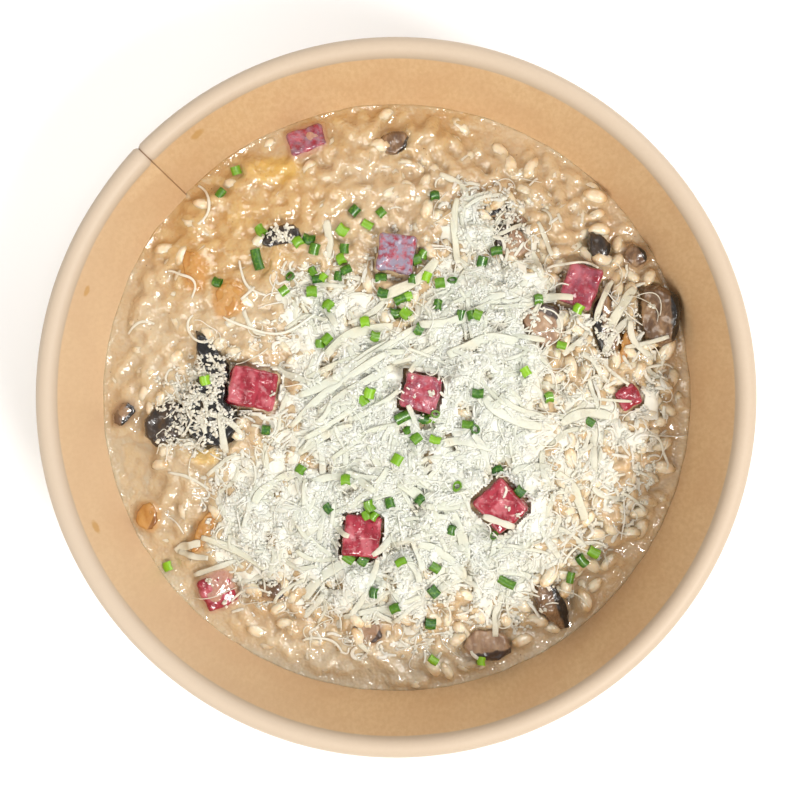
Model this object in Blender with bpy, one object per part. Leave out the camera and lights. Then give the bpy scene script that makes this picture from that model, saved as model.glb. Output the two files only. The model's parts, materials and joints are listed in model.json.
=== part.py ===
"""A takeaway paper bowl of creamy mushroom risotto with ham cubes, chives and grated cheese.

The bowl is a board wall with a rolled rim, a side seam and a foot that is folded up over the flange
of a separate base. The rice is a heap with its grains fused on, ringed by a pool of its own sauce.
Everything is in metres, +Z up, with the origin at the centre of the foot.
"""

import math
import random

import bmesh
import bpy
from mathutils import Euler, Matrix, Vector, noise

MM = 0.001

# Paper bowl
SIDES = 48
BOWL_HEIGHT = 60 * MM
RIM_RADIUS = 75 * MM
ROLL_RADIUS = 2.2 * MM
ROLL_TURN = 305
ROLL_STEPS = 7
FOOT_RADIUS = 64 * MM
BOARD = 0.5 * MM
GAP = 0.3 * MM
FOLD_HEIGHT = 5 * MM
BASE_TOP = 7 * MM
SEAM_ANGLE = 136
SEAM_WIDTH = 8 * MM
SEAM_STEP = 0.3

ROLL_CENTRE = Vector((RIM_RADIUS - ROLL_RADIUS, BOWL_HEIGHT - ROLL_RADIUS))
NECK_RADIUS = RIM_RADIUS - 2 * ROLL_RADIUS + BOARD
TAPER = (NECK_RADIUS - FOOT_RADIUS) / ROLL_CENTRE.y

# Food levels
SAUCE_LEVEL = 32 * MM
MENISCUS_RISE = 0.7 * MM
MENISCUS_WIDTH = 1.6 * MM
HEAP_FLOOR = BASE_TOP + GAP
EDGE_RISE = 1.2 * MM
MOUND_RISE = 5.5 * MM
MOUND_CENTRE = Vector((16, -6)) * MM
MOUND_SPREAD = Vector((42, 38)) * MM
LUMP_RISE = 0.9 * MM
LUMP_SIZE = 9 * MM
HEAP_RINGS = (0.16, 0.34, 0.52, 0.69, 0.84, 0.94, 1.0)

# Width of the open pool of sauce along the wall, in millimetres, by angle in degrees
POOL_WIDTHS = {
    0: 2.4, 30: 2.6, 60: 3.5, 90: 4.5, 120: 3.6, 150: 4.2, 170: 6.5, 192: 10.5, 207: 8.5,
    218: 6.5, 235: 8.5, 252: 8.5, 268: 7, 285: 6, 303: 5, 318: 5.5, 335: 3.6, 348: 2.6,
}

# Grated cheese, lying as a thin pad about its own centre
CHEESE_CENTRE = Vector((10, -7)) * MM
CHEESE_REACH = {
    0: 33, 30: 36, 60: 44, 75: 45, 92: 38, 120: 37, 150: 43, 180: 47, 205: 51, 225: 50,
    245: 46, 268: 45, 285: 44, 300: 39, 330: 33,
}
CHEESE_SIDES = 40
CHEESE_RINGS = (0.3, 0.55, 0.76, 0.9, 1.0)
CHEESE_THICKNESS = 3.2 * MM
CHEESE_DIP = 0.8 * MM
CHEESE_LUMP = 0.8 * MM
RIBBONS = 30
RIBBON_LENGTH = 17 * MM
RIBBON_WIDTH = 1.5 * MM
RIBBON_THICKNESS = 0.55 * MM
RIBBON_STEPS = 4
LONG_RIBBON_TURN = 28

# Rice grains and chive rings
GRAIN_LENGTH = 6.8 * MM
GRAIN_WIDTH = 3.3 * MM
GRAIN_HEIGHT = 2.7 * MM
GRAIN_SPACING = 3.1 * MM
CHIVE_RADIUS = 1.1 * MM
CHIVE_LENGTH = 3.4 * MM
CHIVE_SPACING = 5.2 * MM
GOLDEN_ANGLE = math.radians(137.508)
CLEARANCE = 2.0 * MM

# Ham cubes: x, y, length, width, height, turn in degrees, tilt in degrees, all lengths in millimetres
HAM_CUBES = {
    "ham_cube_top": (0.2, 32.7, 8.2, 8.6, 7.5, -8, (4, -6), 0.5),
    "ham_cube_left": (-33.0, 2.0, 10.4, 8.8, 8.0, -12, (-5, 10), 0.5),
    "ham_cube_centre": (5.4, 1.1, 8.2, 8.0, 7.5, -14, (3, 2), 0.56),
    "ham_cube_lower": (23.6, -24.2, 9.6, 8.8, 8.0, -49, (6, -4), 0.55),
    "ham_cube_front": (-8.0, -31.8, 8.2, 9.4, 8.0, -6, (-12, 3), 0.48),
    "ham_cube_pool": (-41.4, -44.2, 7.6, 7.8, 7.0, 24, (6, 8), 0.3),
    "ham_cube_right": (42.0, 25.2, 7.6, 9.4, 8.0, -20, (4, -8), 0.5),
    "ham_cube_wall": (-20.7, 59.0, 8.4, 5.4, 6.0, 18, (-3, 2), 0.3),
    "ham_cube_hidden": (52.4, 0.2, 5.4, 5.0, 5.5, 30, (5, 4), 0.36),
}
HAM_BEVEL = 0.5 * MM

# Mushroom pieces: x, y, length, width, thickness, turn, (roll, pitch) and bend, in millimetres and degrees
MUSHROOMS = {
    "black_mushroom": (-42.0, -3.6, 14.6, 16.4, 4.4, 8, (3, -4), 1.0),
    "black_mushroom_curl": (-26.4, 36.8, 9.2, 5.6, 3.8, 24, (6, 0), 0.8),
    "dark_mushroom_bit": (-0.4, 58.4, 6.0, 6.6, 3.6, -20, (0, 6), 0.6),
    "grey_mushroom_slice": (25.8, 35.4, 10.0, 6.6, 3.0, -24, (8, 0), 0.8),
    "brown_mushroom_sliver": (24.4, 41.8, 11.5, 3.4, 2.8, -16, (0, 0), 0.8),
    "black_mushroom_edge": (46.0, 34.2, 5.0, 7.6, 3.8, 12, (0, 6), 0.6),
    "brown_mushroom_slice": (47.6, 16.2, 5.6, 18.0, 3.4, 8, (6, 4), 1.0),
    "tan_mushroom_slice": (33.2, 16.4, 9.6, 10.4, 3.2, -14, (0, 4), 0.8),
    "leaning_mushroom": (59.8, 18.6, 10.8, 13.4, 3.8, 14, (0, -28), 0.6),
    "wall_mushroom_bit": (54.6, 32.4, 5.4, 5.6, 3.6, 30, (0, -14), 0.4),
    "orange_mushroom_strip": (52.2, 12.2, 3.2, 12.4, 2.8, -14, (4, 0), 0.8),
    "dark_edged_slice": (35.4, -47.2, 7.0, 12.8, 3.4, 27, (8, 6), 1.0),
    "gilled_slice": (20.8, -56.6, 12.4, 7.4, 3.4, 6, (-6, 0), 0.8),
    "amber_mushroom_upper": (-46.2, 29.0, 6.0, 9.6, 3.4, 12, (0, 4), 0.6),
    "amber_mushroom_lower": (-38.0, 22.4, 8.4, 8.2, 3.4, -30, (4, 0), 0.6),
    "rim_mushroom_left": (-62.4, -3.6, 4.6, 6.2, 3.0, -34, (0, 10), 0.4),
    "amber_mushroom_wedge": (-57.0, -27.2, 5.2, 7.6, 3.4, -24, (4, 0), 0.4),
    "amber_mushroom_stem": (-44.0, -30.6, 4.0, 12.0, 3.4, -22, (0, 4), 0.8),
    "brown_mushroom_bit": (-28.4, -44.2, 6.8, 4.4, 3.0, -16, (0, 0), 0.4),
    "grey_mushroom_bit": (-6.4, -53.6, 7.4, 5.0, 3.0, 8, (4, 0), 0.4),
}
BLACK_MUSHROOM_LOBES = {
    "black_mushroom_lobe": (-52.0, -5.8, 11.4, 11.0, 4.2, 28, (0, 6), 0.8),
    "black_mushroom_stem": (-41.6, 7.2, 6.6, 16.6, 5.0, 20, (0, 0), 0.0),
}
MUSHROOM_SIDES = 10
MUSHROOM_LOBES = 0.13

COLOURS = {
    "kraft_board": ((0.60, 0.39, 0.22, 1), 0.62),
    "cream_sauce": ((0.74, 0.58, 0.37, 1), 0.25),
    "rice": ((0.80, 0.68, 0.49, 1), 0.35),
    "cheese": ((0.84, 0.83, 0.73, 1), 0.55),
    "ham": ((0.62, 0.15, 0.17, 1), 0.30),
    "black_mushroom": ((0.035, 0.024, 0.018, 1), 0.28),
    "brown_mushroom": ((0.22, 0.12, 0.065, 1), 0.40),
    "amber_mushroom": ((0.55, 0.25, 0.07, 1), 0.35),
    "grey_mushroom": ((0.42, 0.31, 0.23, 1), 0.45),
}


def clear_scene():
    for obj in list(bpy.data.objects):
        bpy.data.objects.remove(obj)


def material(name):
    """The Principled material of one finish, made once."""
    if name in bpy.data.materials:
        return bpy.data.materials[name]
    colour, roughness = COLOURS[name]
    made = bpy.data.materials.new(name)
    made.use_nodes = True
    shader = made.node_tree.nodes["Principled BSDF"]
    shader.inputs["Base Color"].default_value = colour
    shader.inputs["Roughness"].default_value = roughness
    shader.inputs["Metallic"].default_value = 0
    return made


def new_object(name, bm, finish):
    """An object from a bmesh, with its faces turned outwards and shaded smooth."""
    bmesh.ops.recalc_face_normals(bm, faces=bm.faces)
    mesh = bpy.data.meshes.new(name)
    bm.to_mesh(mesh)
    bm.free()
    mesh.materials.append(material(finish))
    mesh.shade_smooth()
    mesh.set_sharp_from_angle(angle=math.radians(35))
    obj = bpy.data.objects.new(name, mesh)
    bpy.context.scene.collection.objects.link(obj)
    return obj


def around(table, degrees):
    """A value read from an angle table, eased from one entry to the next."""
    angles = sorted(table)
    degrees %= 360
    before = max((a for a in angles if a <= degrees), default=angles[-1] - 360)
    after = min((a for a in angles if a > degrees), default=angles[0] + 360)
    share = (degrees - before) / (after - before)
    share = share * share * (3 - 2 * share)
    return table[before % 360] * (1 - share) + table[after % 360] * share


def polar(radius, angle, height):
    return Vector((radius * math.cos(angle), radius * math.sin(angle), height))


def column_angles():
    """The bowl's columns of points, with two close pairs where the seam steps in and out."""
    start = SEAM_ANGLE
    end = SEAM_ANGLE + math.degrees(SEAM_WIDTH / NECK_RADIUS)
    even = [360 * i / SIDES for i in range(SIDES)]
    clear = [a for a in even if min(abs(a - start), abs(a - end)) > 2 * SEAM_STEP]
    seam = [start - SEAM_STEP, start + SEAM_STEP, end - SEAM_STEP, end + SEAM_STEP]
    return [math.radians(a) for a in sorted(clear + seam)]


def seam_depth(angle):
    """How far the board's second layer stands in at this angle."""
    along = math.radians(SEAM_ANGLE)
    return BOARD if along < angle < along + SEAM_WIDTH / NECK_RADIUS else 0


def outer_wall(height):
    return FOOT_RADIUS + TAPER * height


def inner_wall(height, angle):
    return outer_wall(height) - BOARD - seam_depth(angle)


def joined_rings(bm, rings, closed):
    """Faces between rings of points. Closed joins the last ring to the first, and otherwise ends are capped."""
    made = [[bm.verts.new(point) for point in ring] for ring in rings]
    pairs = list(zip(made, made[1:]))
    if closed:
        pairs.append((made[-1], made[0]))
    for low, high in pairs:
        count = len(low)
        for i in range(count):
            after = (i + 1) % count
            bm.faces.new((low[i], low[after], high[after], high[i]))
    if not closed:
        for ring, centre in ((made[0], rings[0]), (made[-1], rings[-1])):
            hub = bm.verts.new(sum(centre, Vector()) / len(centre))
            for i in range(len(ring)):
                bm.faces.new((ring[i], ring[(i + 1) % len(ring)], hub))


def wall_profile(angle):
    """Radius and height of the wall's section: up the inside, round the roll, down the outside, up the fold."""
    slot = BOARD + 2 * GAP
    points = [(inner_wall(BOARD, angle), BOARD)]
    turns = [math.radians(180 - ROLL_TURN * i / ROLL_STEPS) for i in range(ROLL_STEPS + 1)]
    points.append((inner_wall(ROLL_CENTRE.y - ROLL_RADIUS, angle), ROLL_CENTRE.y - ROLL_RADIUS))
    for radius, order in ((ROLL_RADIUS, turns), (ROLL_RADIUS - BOARD, reversed(turns))):
        for turn in order:
            arc = ROLL_CENTRE + radius * Vector((math.cos(turn), math.sin(turn)))
            points.append((arc.x, arc.y))
    points.append((outer_wall(0), 0))
    points.append((inner_wall(0, angle) - slot - BOARD, 0))
    points.append((inner_wall(FOLD_HEIGHT, angle) - slot - BOARD, FOLD_HEIGHT))
    points.append((inner_wall(FOLD_HEIGHT, angle) - slot, FOLD_HEIGHT))
    points.append((inner_wall(BOARD, angle) - slot, BOARD))
    return points


def build_wall():
    sections = [(angle, wall_profile(angle)) for angle in column_angles()]
    rings = [[polar(*(section[k][0], angle, section[k][1])) for angle, section in sections]
             for k in range(len(sections[0][1]))]
    bm = bmesh.new()
    joined_rings(bm, rings, closed=True)
    return new_object("bowl_wall", bm, "kraft_board")


def build_base():
    """The base disc, with its flange hanging in the wall's fold."""
    flange_end = BOARD + GAP

    def ring(height, inset):
        return [polar(inner_wall(height, a) - GAP - inset, a, height) for a in column_angles()]

    bm = bmesh.new()
    underside = BASE_TOP - BOARD
    joined_rings(
        bm,
        [ring(underside, BOARD), ring(flange_end, BOARD), ring(flange_end, 0), ring(BASE_TOP, 0)],
        closed=False,
    )
    return new_object("bowl_base", bm, "kraft_board")


def rice_edge(angle, height=SAUCE_LEVEL):
    """Radius where the rice ends and the pool begins, leaning with the wall."""
    pool = around(POOL_WIDTHS, math.degrees(angle)) * MM
    return outer_wall(height) - BOARD - pool


def heap_top(x, y):
    """Height of the bare rice at a point, without its grains."""
    radius = math.hypot(x, y)
    share = min(radius / rice_edge(math.atan2(y, x)), 1)
    from_mound = Vector(((x - MOUND_CENTRE.x) / MOUND_SPREAD.x, (y - MOUND_CENTRE.y) / MOUND_SPREAD.y))
    mound = MOUND_RISE * math.exp(-from_mound.length_squared)
    lumps = LUMP_RISE * noise.noise(Vector((x, y, 0)) / LUMP_SIZE)
    return SAUCE_LEVEL + EDGE_RISE * (1 - share**6) + (mound + lumps) * (1 - share**4)


def heap_rings(lift):
    """Rings of points over the rice, from its edge to its middle."""
    rings = []
    for share in reversed(HEAP_RINGS):
        flat = [polar(share * rice_edge(a), a, 0) for a in column_angles()]
        rings.append([Vector((p.x, p.y, heap_top(p.x, p.y) + lift)) for p in flat])
    return rings


def build_sauce():
    """The pool of sauce between the rice and the wall, with its edge drawn up the board."""
    angles = column_angles()
    brim = SAUCE_LEVEL + MENISCUS_RISE
    rings = [
        [polar(rice_edge(a, HEAP_FLOOR) + GAP, a, HEAP_FLOOR) for a in angles],
        [polar(rice_edge(a) + GAP, a, SAUCE_LEVEL) for a in angles],
        [polar(inner_wall(brim, a) - GAP - MENISCUS_WIDTH, a, SAUCE_LEVEL) for a in angles],
        [polar(inner_wall(brim, a) - GAP, a, brim) for a in angles],
        [polar(inner_wall(HEAP_FLOOR, a) - GAP, a, HEAP_FLOOR) for a in angles],
    ]
    bm = bmesh.new()
    joined_rings(bm, rings, closed=True)
    return new_object("sauce", bm, "cream_sauce")


def build_rice_core():
    floor = [polar(rice_edge(a, HEAP_FLOOR), a, HEAP_FLOOR) for a in column_angles()]
    bm = bmesh.new()
    joined_rings(bm, [floor] + heap_rings(0), closed=False)
    return new_object("rice", bm, "rice")


def build_food_cutter():
    """Rice and pool in one body, raised by the gap, which shapes the undersides of the toppings."""
    angles = column_angles()
    brim = SAUCE_LEVEL + MENISCUS_RISE
    shore = [polar(inner_wall(brim, a) - GAP - MENISCUS_WIDTH, a, SAUCE_LEVEL + GAP) for a in angles]
    wall_line = [polar(inner_wall(brim, a), a, brim + GAP) for a in angles]
    floor = [polar(inner_wall(HEAP_FLOOR, a), a, HEAP_FLOOR) for a in angles]
    bm = bmesh.new()
    joined_rings(bm, [floor, wall_line, shore] + heap_rings(GAP), closed=False)
    return new_object("food_cutter", bm, "rice")


def build_ham_cube(name, x, y, length, width, height, turn, tilt, shown):
    """A diced cube with softened edges, a share of it shown above the rice."""
    bm = bmesh.new()
    bmesh.ops.create_cube(bm, size=1)
    bmesh.ops.scale(bm, verts=bm.verts, vec=Vector((length, width, height)) * MM)
    bmesh.ops.bevel(bm, geom=bm.edges[:], offset=HAM_BEVEL, segments=1, affect="EDGES")
    spin = Euler((math.radians(tilt[0]), math.radians(tilt[1]), math.radians(turn))).to_matrix()
    bmesh.ops.rotate(bm, verts=bm.verts, matrix=spin)
    middle = heap_top(x * MM, y * MM) + height * MM * (shown - 0.5)
    bmesh.ops.translate(bm, verts=bm.verts, vec=(x * MM, y * MM, middle))
    return new_object(name, bm, "ham")


def mushroom_finish(name):
    for word in ("black", "dark", "amber", "orange", "grey", "gilled", "tan"):
        if name.startswith(word):
            return {"dark": "brown", "orange": "amber", "gilled": "grey", "tan": "grey"}.get(word, word) + "_mushroom"
    return "brown_mushroom"


def build_mushroom(name, x, y, length, width, thickness, turn, tilt, bend):
    """A limp slice: a lobed outline, thick in its middle, drooping towards its ends."""
    draw = random.Random(name)
    phases = [draw.uniform(0, math.tau) for _ in range(3)]

    def ring(spread, height):
        points = []
        for i in range(MUSHROOM_SIDES):
            a = math.tau * i / MUSHROOM_SIDES
            lobes = sum(math.sin((k + 2) * a + phase) / (k + 1) for k, phase in enumerate(phases))
            reach = spread * (1 + MUSHROOM_LOBES * lobes) / 2
            points.append(Vector((length * reach * math.cos(a), width * reach * math.sin(a), height)))
        return points

    bm = bmesh.new()
    levels = ((0.72, -0.5), (1.0, -0.1), (0.86, 0.38))
    joined_rings(bm, [ring(spread, share * thickness) for spread, share in levels], closed=False)
    for vert in bm.verts:
        along = Vector((vert.co.x / length, vert.co.y / width)).length_squared
        vert.co.z -= bend * (4 * along - 1) / 2
    bmesh.ops.scale(bm, verts=bm.verts, vec=(MM, MM, MM))
    spin = Euler((math.radians(tilt[0]), math.radians(tilt[1]), math.radians(turn))).to_matrix()
    bmesh.ops.rotate(bm, verts=bm.verts, matrix=spin)
    lift = heap_top(x * MM, y * MM) + thickness * MM * 0.2
    lift += length / 2 * MM * abs(math.sin(math.radians(tilt[1])))
    bmesh.ops.translate(bm, verts=bm.verts, vec=(x * MM, y * MM, lift))
    return new_object(name, bm, mushroom_finish(name))


def grown_copy(obj, margin):
    """A slightly larger copy, which cuts its neighbours clear of the piece."""
    bm = bmesh.new()
    bm.from_mesh(obj.data)
    bm.normal_update()
    for vert, normal in [(v, v.normal.copy()) for v in bm.verts]:
        vert.co += normal * margin
    return new_object(obj.name + "_room", bm, "rice")


def combine(obj, others, operation):
    """Joins or cuts an object with others by one Boolean, applied, and removes them."""
    gathered = bpy.data.collections.new("operands")
    bpy.context.scene.collection.children.link(gathered)
    for other in others:
        gathered.objects.link(other)
        bpy.context.scene.collection.objects.unlink(other)
    modifier = obj.modifiers.new("combine", "BOOLEAN")
    modifier.operation = operation
    modifier.operand_type = "COLLECTION"
    modifier.collection = gathered
    modifier.solver = "MANIFOLD"
    bpy.context.view_layer.objects.active = obj
    with bpy.context.temp_override(object=obj, active_object=obj, selected_objects=[obj]):
        bpy.ops.object.modifier_apply(modifier="combine")
    for other in others:
        bpy.data.objects.remove(other)
    bpy.data.collections.remove(gathered)


def keep_main_body(obj):
    """Drops loose scraps and sealed hollows, so that one closed body is left."""
    bm = bmesh.new()
    bm.from_mesh(obj.data)
    bmesh.ops.triangulate(bm, faces=bm.faces)
    waiting = set(bm.faces)
    bodies = []
    while waiting:
        front = [waiting.pop()]
        body = list(front)
        while front:
            around_it = {f for edge in front.pop().edges for f in edge.link_faces}
            fresh = around_it & waiting
            waiting -= fresh
            front += fresh
            body += fresh
        size = sum(f.verts[0].co.dot(f.verts[1].co.cross(f.verts[2].co)) for f in body)
        bodies.append((size, body))
    bodies.sort(key=lambda entry: entry[0])
    loose = [face for size, body in bodies[:-1] for face in body]
    bmesh.ops.delete(bm, geom=loose, context="FACES")
    bm.to_mesh(obj.data)
    bm.free()


def cut_by_copy(obj, cutter):
    copy = cutter.copy()
    copy.data = cutter.data.copy()
    bpy.context.scene.collection.objects.link(copy)
    combine(obj, [copy], "DIFFERENCE")


def boxes_meet(first, second):
    """True if the bounding boxes of two objects overlap."""
    corners = [[Vector(corner) for corner in obj.bound_box] for obj in (first, second)]
    low = [Vector(map(min, *box)) for box in corners]
    high = [Vector(map(max, *box)) for box in corners]
    return all(low[0][i] < high[1][i] and low[1][i] < high[0][i] for i in range(3))


def clear_of(x, y, footprints, margin):
    """True if a point keeps its distance from every topping's own rectangle."""
    for centre, size, turn in footprints:
        local = Matrix.Rotation(-turn, 2) @ (Vector((x, y)) - centre)
        if abs(local.x) < size.x / 2 + margin and abs(local.y) < size.y / 2 + margin:
            return False
    return True


def topping_footprints():
    found = []
    for x, y, length, width, *rest in HAM_CUBES.values():
        found.append((Vector((x, y)) * MM, Vector((length, width)) * MM, math.radians(rest[1])))
    slices = list(MUSHROOMS.values()) + list(BLACK_MUSHROOM_LOBES.values())
    for x, y, length, width, thickness, turn, *rest in slices:
        found.append((Vector((x, y)) * MM, Vector((length, width)) * MM, math.radians(turn)))
    return found


def cheese_reach(x, y):
    """How far out a point lies in the cheese: 0 at its centre and 1 on its outline."""
    out = Vector((x, y)) - CHEESE_CENTRE
    return out.length / (around(CHEESE_REACH, math.degrees(math.atan2(out.y, out.x))) * MM)


def cheese_top(x, y):
    share = min(cheese_reach(x, y), 1)
    lumps = CHEESE_LUMP * noise.noise(Vector((x, y, LUMP_SIZE)) / (LUMP_SIZE * 0.6))
    return heap_top(x, y) + (CHEESE_THICKNESS + CHEESE_DIP) * (1 - share**3) - CHEESE_DIP + lumps


def build_cheese_pad():
    """The pad's top follows the rice, and its edge dips under it, so that its outline comes out uneven."""

    def ring(share, top):
        points = []
        for i in range(CHEESE_SIDES):
            angle = math.tau * i / CHEESE_SIDES
            reach = share * around(CHEESE_REACH, math.degrees(angle)) * MM
            point = CHEESE_CENTRE + reach * Vector((math.cos(angle), math.sin(angle)))
            height = cheese_top(point.x, point.y) if top else SAUCE_LEVEL - CHEESE_DIP
            points.append(Vector((point.x, point.y, height)))
        return points

    bm = bmesh.new()
    rings = [ring(1.0, False)] + [ring(share, True) for share in reversed(CHEESE_RINGS)]
    joined_rings(bm, rings, closed=False)
    return new_object("cheese", bm, "cheese")


def build_ribbon(draw, x, y, turn, length):
    """A shaving of cheese: a flat strip that curves sideways and lies over the pad."""
    curve = draw.uniform(-1, 1) * length * 0.22
    rings = []
    for i in range(RIBBON_STEPS + 1):
        along = i / RIBBON_STEPS - 0.5
        sideways = curve * (4 * along * along - 1)
        narrow = RIBBON_WIDTH * (1 - 1.2 * along * along) / 2
        ring = []
        for across, lift in ((-narrow, 0), (narrow, 0), (narrow, 1), (-narrow, 1)):
            local = Matrix.Rotation(turn, 2) @ Vector((along * length, sideways + across))
            px, py = x + local.x, y + local.y
            height = cheese_top(px, py) + RIBBON_THICKNESS * (lift * 1.5 - 0.7)
            ring.append(Vector((px, py, height)))
        rings.append(ring)
    bm = bmesh.new()
    made = [[bm.verts.new(point) for point in ring] for ring in rings]
    for low, high in zip(made, made[1:]):
        for i in range(4):
            bm.faces.new((low[i], low[(i + 1) % 4], high[(i + 1) % 4], high[i]))
    bm.faces.new(made[0])
    bm.faces.new(made[-1])
    return new_object("ribbon", bm, "cheese")


def build_ribbons(footprints):
    draw = random.Random(11)
    made = []
    for k in range(RIBBONS):
        reach = math.sqrt((k + 0.5) / RIBBONS) * 0.66
        angle = k * GOLDEN_ANGLE
        radius = reach * around(CHEESE_REACH, math.degrees(angle)) * MM
        x, y = CHEESE_CENTRE + radius * Vector((math.cos(angle), math.sin(angle)))
        long_one = k % 3 == 0
        spread = 12 if long_one else 90
        turn = math.radians(LONG_RIBBON_TURN + draw.uniform(-spread, spread))
        length = RIBBON_LENGTH * (draw.uniform(0.9, 1.25) if long_one else draw.uniform(0.45, 0.7))
        ends = [Vector((x, y)) + side * length * Vector((math.cos(turn), math.sin(turn)))
                for side in (-0.5, -0.25, 0, 0.25, 0.5)]
        if all(clear_of(*end, footprints, RIBBON_WIDTH) and cheese_reach(*end) < 0.86 for end in ends):
            made.append(build_ribbon(draw, x, y, turn, length))
    return made


def build_chive(draw, x, y, height):
    bm = bmesh.new()
    length = CHIVE_LENGTH * draw.uniform(0.7, 1.3)
    bmesh.ops.create_cone(
        bm, cap_ends=True, segments=6, radius1=CHIVE_RADIUS, radius2=CHIVE_RADIUS, depth=length
    )
    lean = math.radians(draw.uniform(55, 90))
    spin = Euler((lean, 0, draw.uniform(0, math.tau))).to_matrix()
    bmesh.ops.rotate(bm, verts=bm.verts, matrix=spin)
    bmesh.ops.translate(bm, verts=bm.verts, vec=(x, y, height + CHIVE_RADIUS * 0.5))
    return new_object("chive", bm, "cheese")


def build_chives(footprints):
    """Chive rings, split by what they lie on: those on the cheese and those on the rice."""
    draw = random.Random(23)
    on_cheese, on_rice = [], []
    k = 0
    while GRAIN_SPACING * math.sqrt(k) < FOOT_RADIUS:
        radius = CHIVE_SPACING * math.sqrt(k)
        angle = k * GOLDEN_ANGLE + 1
        x, y = radius * math.cos(angle), radius * math.sin(angle)
        k += 1
        if radius > rice_edge(angle) - 2 * CLEARANCE or not clear_of(x, y, footprints, CHIVE_LENGTH * 0.7):
            continue
        share = cheese_reach(x, y)
        if share < 0.8:
            on_cheese.append(build_chive(draw, x, y, cheese_top(x, y)))
        elif share > 1.12 and y > 0 and k % 2:
            on_rice.append((x, y))
    return on_cheese, on_rice


def grain_fits(x, y, turn, length, footprints, chive_places):
    """True if a grain's middle and ends keep clear of the pool, the cheese, the toppings and the chives."""
    along = Vector((math.cos(turn), math.sin(turn))) * length / 2
    for share in (-1, 0, 1):
        point = Vector((x, y)) + share * along
        inside = point.length < rice_edge(math.atan2(point.y, point.x)) - CLEARANCE
        bare = cheese_reach(*point) > 1.04 and clear_of(*point, footprints, CLEARANCE)
        near_chive = any((point - Vector(place)).length < CHIVE_LENGTH for place in chive_places)
        if not inside or not bare or near_chive:
            return False
    return True


def build_grain(draw, x, y, turn, length):
    """A plump grain with blunt ends, lying nearly flat and half sunk."""
    bm = bmesh.new()
    bmesh.ops.create_uvsphere(bm, u_segments=6, v_segments=3, radius=0.5)
    bmesh.ops.scale(bm, verts=bm.verts, vec=(GRAIN_HEIGHT, GRAIN_WIDTH, length))
    lean = math.radians(90 + draw.uniform(-14, 14))
    spin = Euler((0, lean, turn)).to_matrix()
    bmesh.ops.rotate(bm, verts=bm.verts, matrix=spin)
    bmesh.ops.translate(bm, verts=bm.verts, vec=(x, y, heap_top(x, y) + GRAIN_HEIGHT * 0.2))
    return new_object("grain", bm, "rice")


def build_grains(footprints, chive_places):
    draw = random.Random(5)
    made = []
    k = 0
    while GRAIN_SPACING * math.sqrt(k) < FOOT_RADIUS:
        radius = GRAIN_SPACING * math.sqrt(k)
        angle = k * GOLDEN_ANGLE
        x, y = radius * math.cos(angle), radius * math.sin(angle)
        k += 1
        length = GRAIN_LENGTH * draw.uniform(0.85, 1.1)
        first = draw.uniform(0, math.pi)
        turns = [first + math.pi * i / 4 for i in range(4)]
        fitting = [t for t in turns if grain_fits(x, y, t, length, footprints, chive_places)]
        if fitting:
            made.append(build_grain(draw, x, y, fitting[0], length))
    return made


def main():
    clear_scene()
    build_wall()
    build_base()
    build_sauce()
    cutter = build_food_cutter()
    footprints = topping_footprints()

    toppings = [build_ham_cube(name, *values) for name, values in HAM_CUBES.items()]
    toppings += [build_mushroom(name, *values) for name, values in MUSHROOMS.items()]
    lobes = [build_mushroom(name, *values) for name, values in BLACK_MUSHROOM_LOBES.items()]
    combine(bpy.data.objects["black_mushroom"], lobes, "UNION")
    rooms = []
    for topping in toppings:
        room = grown_copy(topping, GAP * 1.8)
        for neighbour in [cutter] + [other for other in rooms if boxes_meet(topping, other)]:
            cut_by_copy(topping, neighbour)
        keep_main_body(topping)
        rooms.append(room)

    cheese = build_cheese_pad()
    chives_on_cheese, chive_places = build_chives(footprints)
    combine(cheese, build_ribbons(footprints) + chives_on_cheese, "UNION")
    combine(cheese, rooms + [cutter], "DIFFERENCE")
    keep_main_body(cheese)

    rice = build_rice_core()
    draw = random.Random(31)
    chives_on_rice = [build_chive(draw, x, y, heap_top(x, y)) for x, y in chive_places]
    combine(rice, build_grains(footprints, chive_places) + chives_on_rice, "UNION")
    keep_main_body(rice)


main()
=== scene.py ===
"""Looks for a paper bowl of creamy mushroom risotto with diced ham, chives and grated cheese.

The food is laid down in layers on one relief of heights: grains drop on the heap, sauce fills in between
them, and the ham, mushrooms, cheese and chives rest on what is already there.
"""

import json
import math
import random

import bpy
import numpy as np
from mathutils import Euler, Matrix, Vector, noise

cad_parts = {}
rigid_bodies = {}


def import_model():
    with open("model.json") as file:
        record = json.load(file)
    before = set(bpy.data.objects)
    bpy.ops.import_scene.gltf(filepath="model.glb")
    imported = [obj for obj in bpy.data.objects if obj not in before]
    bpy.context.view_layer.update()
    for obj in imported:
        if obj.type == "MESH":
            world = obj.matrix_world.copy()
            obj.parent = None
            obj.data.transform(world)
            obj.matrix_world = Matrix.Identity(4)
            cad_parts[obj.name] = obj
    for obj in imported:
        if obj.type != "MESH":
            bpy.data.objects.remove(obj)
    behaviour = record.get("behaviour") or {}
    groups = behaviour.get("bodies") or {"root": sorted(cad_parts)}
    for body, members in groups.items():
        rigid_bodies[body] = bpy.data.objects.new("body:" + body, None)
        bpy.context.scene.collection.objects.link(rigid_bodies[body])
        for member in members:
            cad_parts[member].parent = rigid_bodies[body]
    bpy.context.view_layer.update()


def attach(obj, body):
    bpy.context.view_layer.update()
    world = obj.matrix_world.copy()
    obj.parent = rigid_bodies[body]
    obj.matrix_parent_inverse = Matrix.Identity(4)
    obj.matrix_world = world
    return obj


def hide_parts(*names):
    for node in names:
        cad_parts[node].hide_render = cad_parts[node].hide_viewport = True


MM = 0.001

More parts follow.
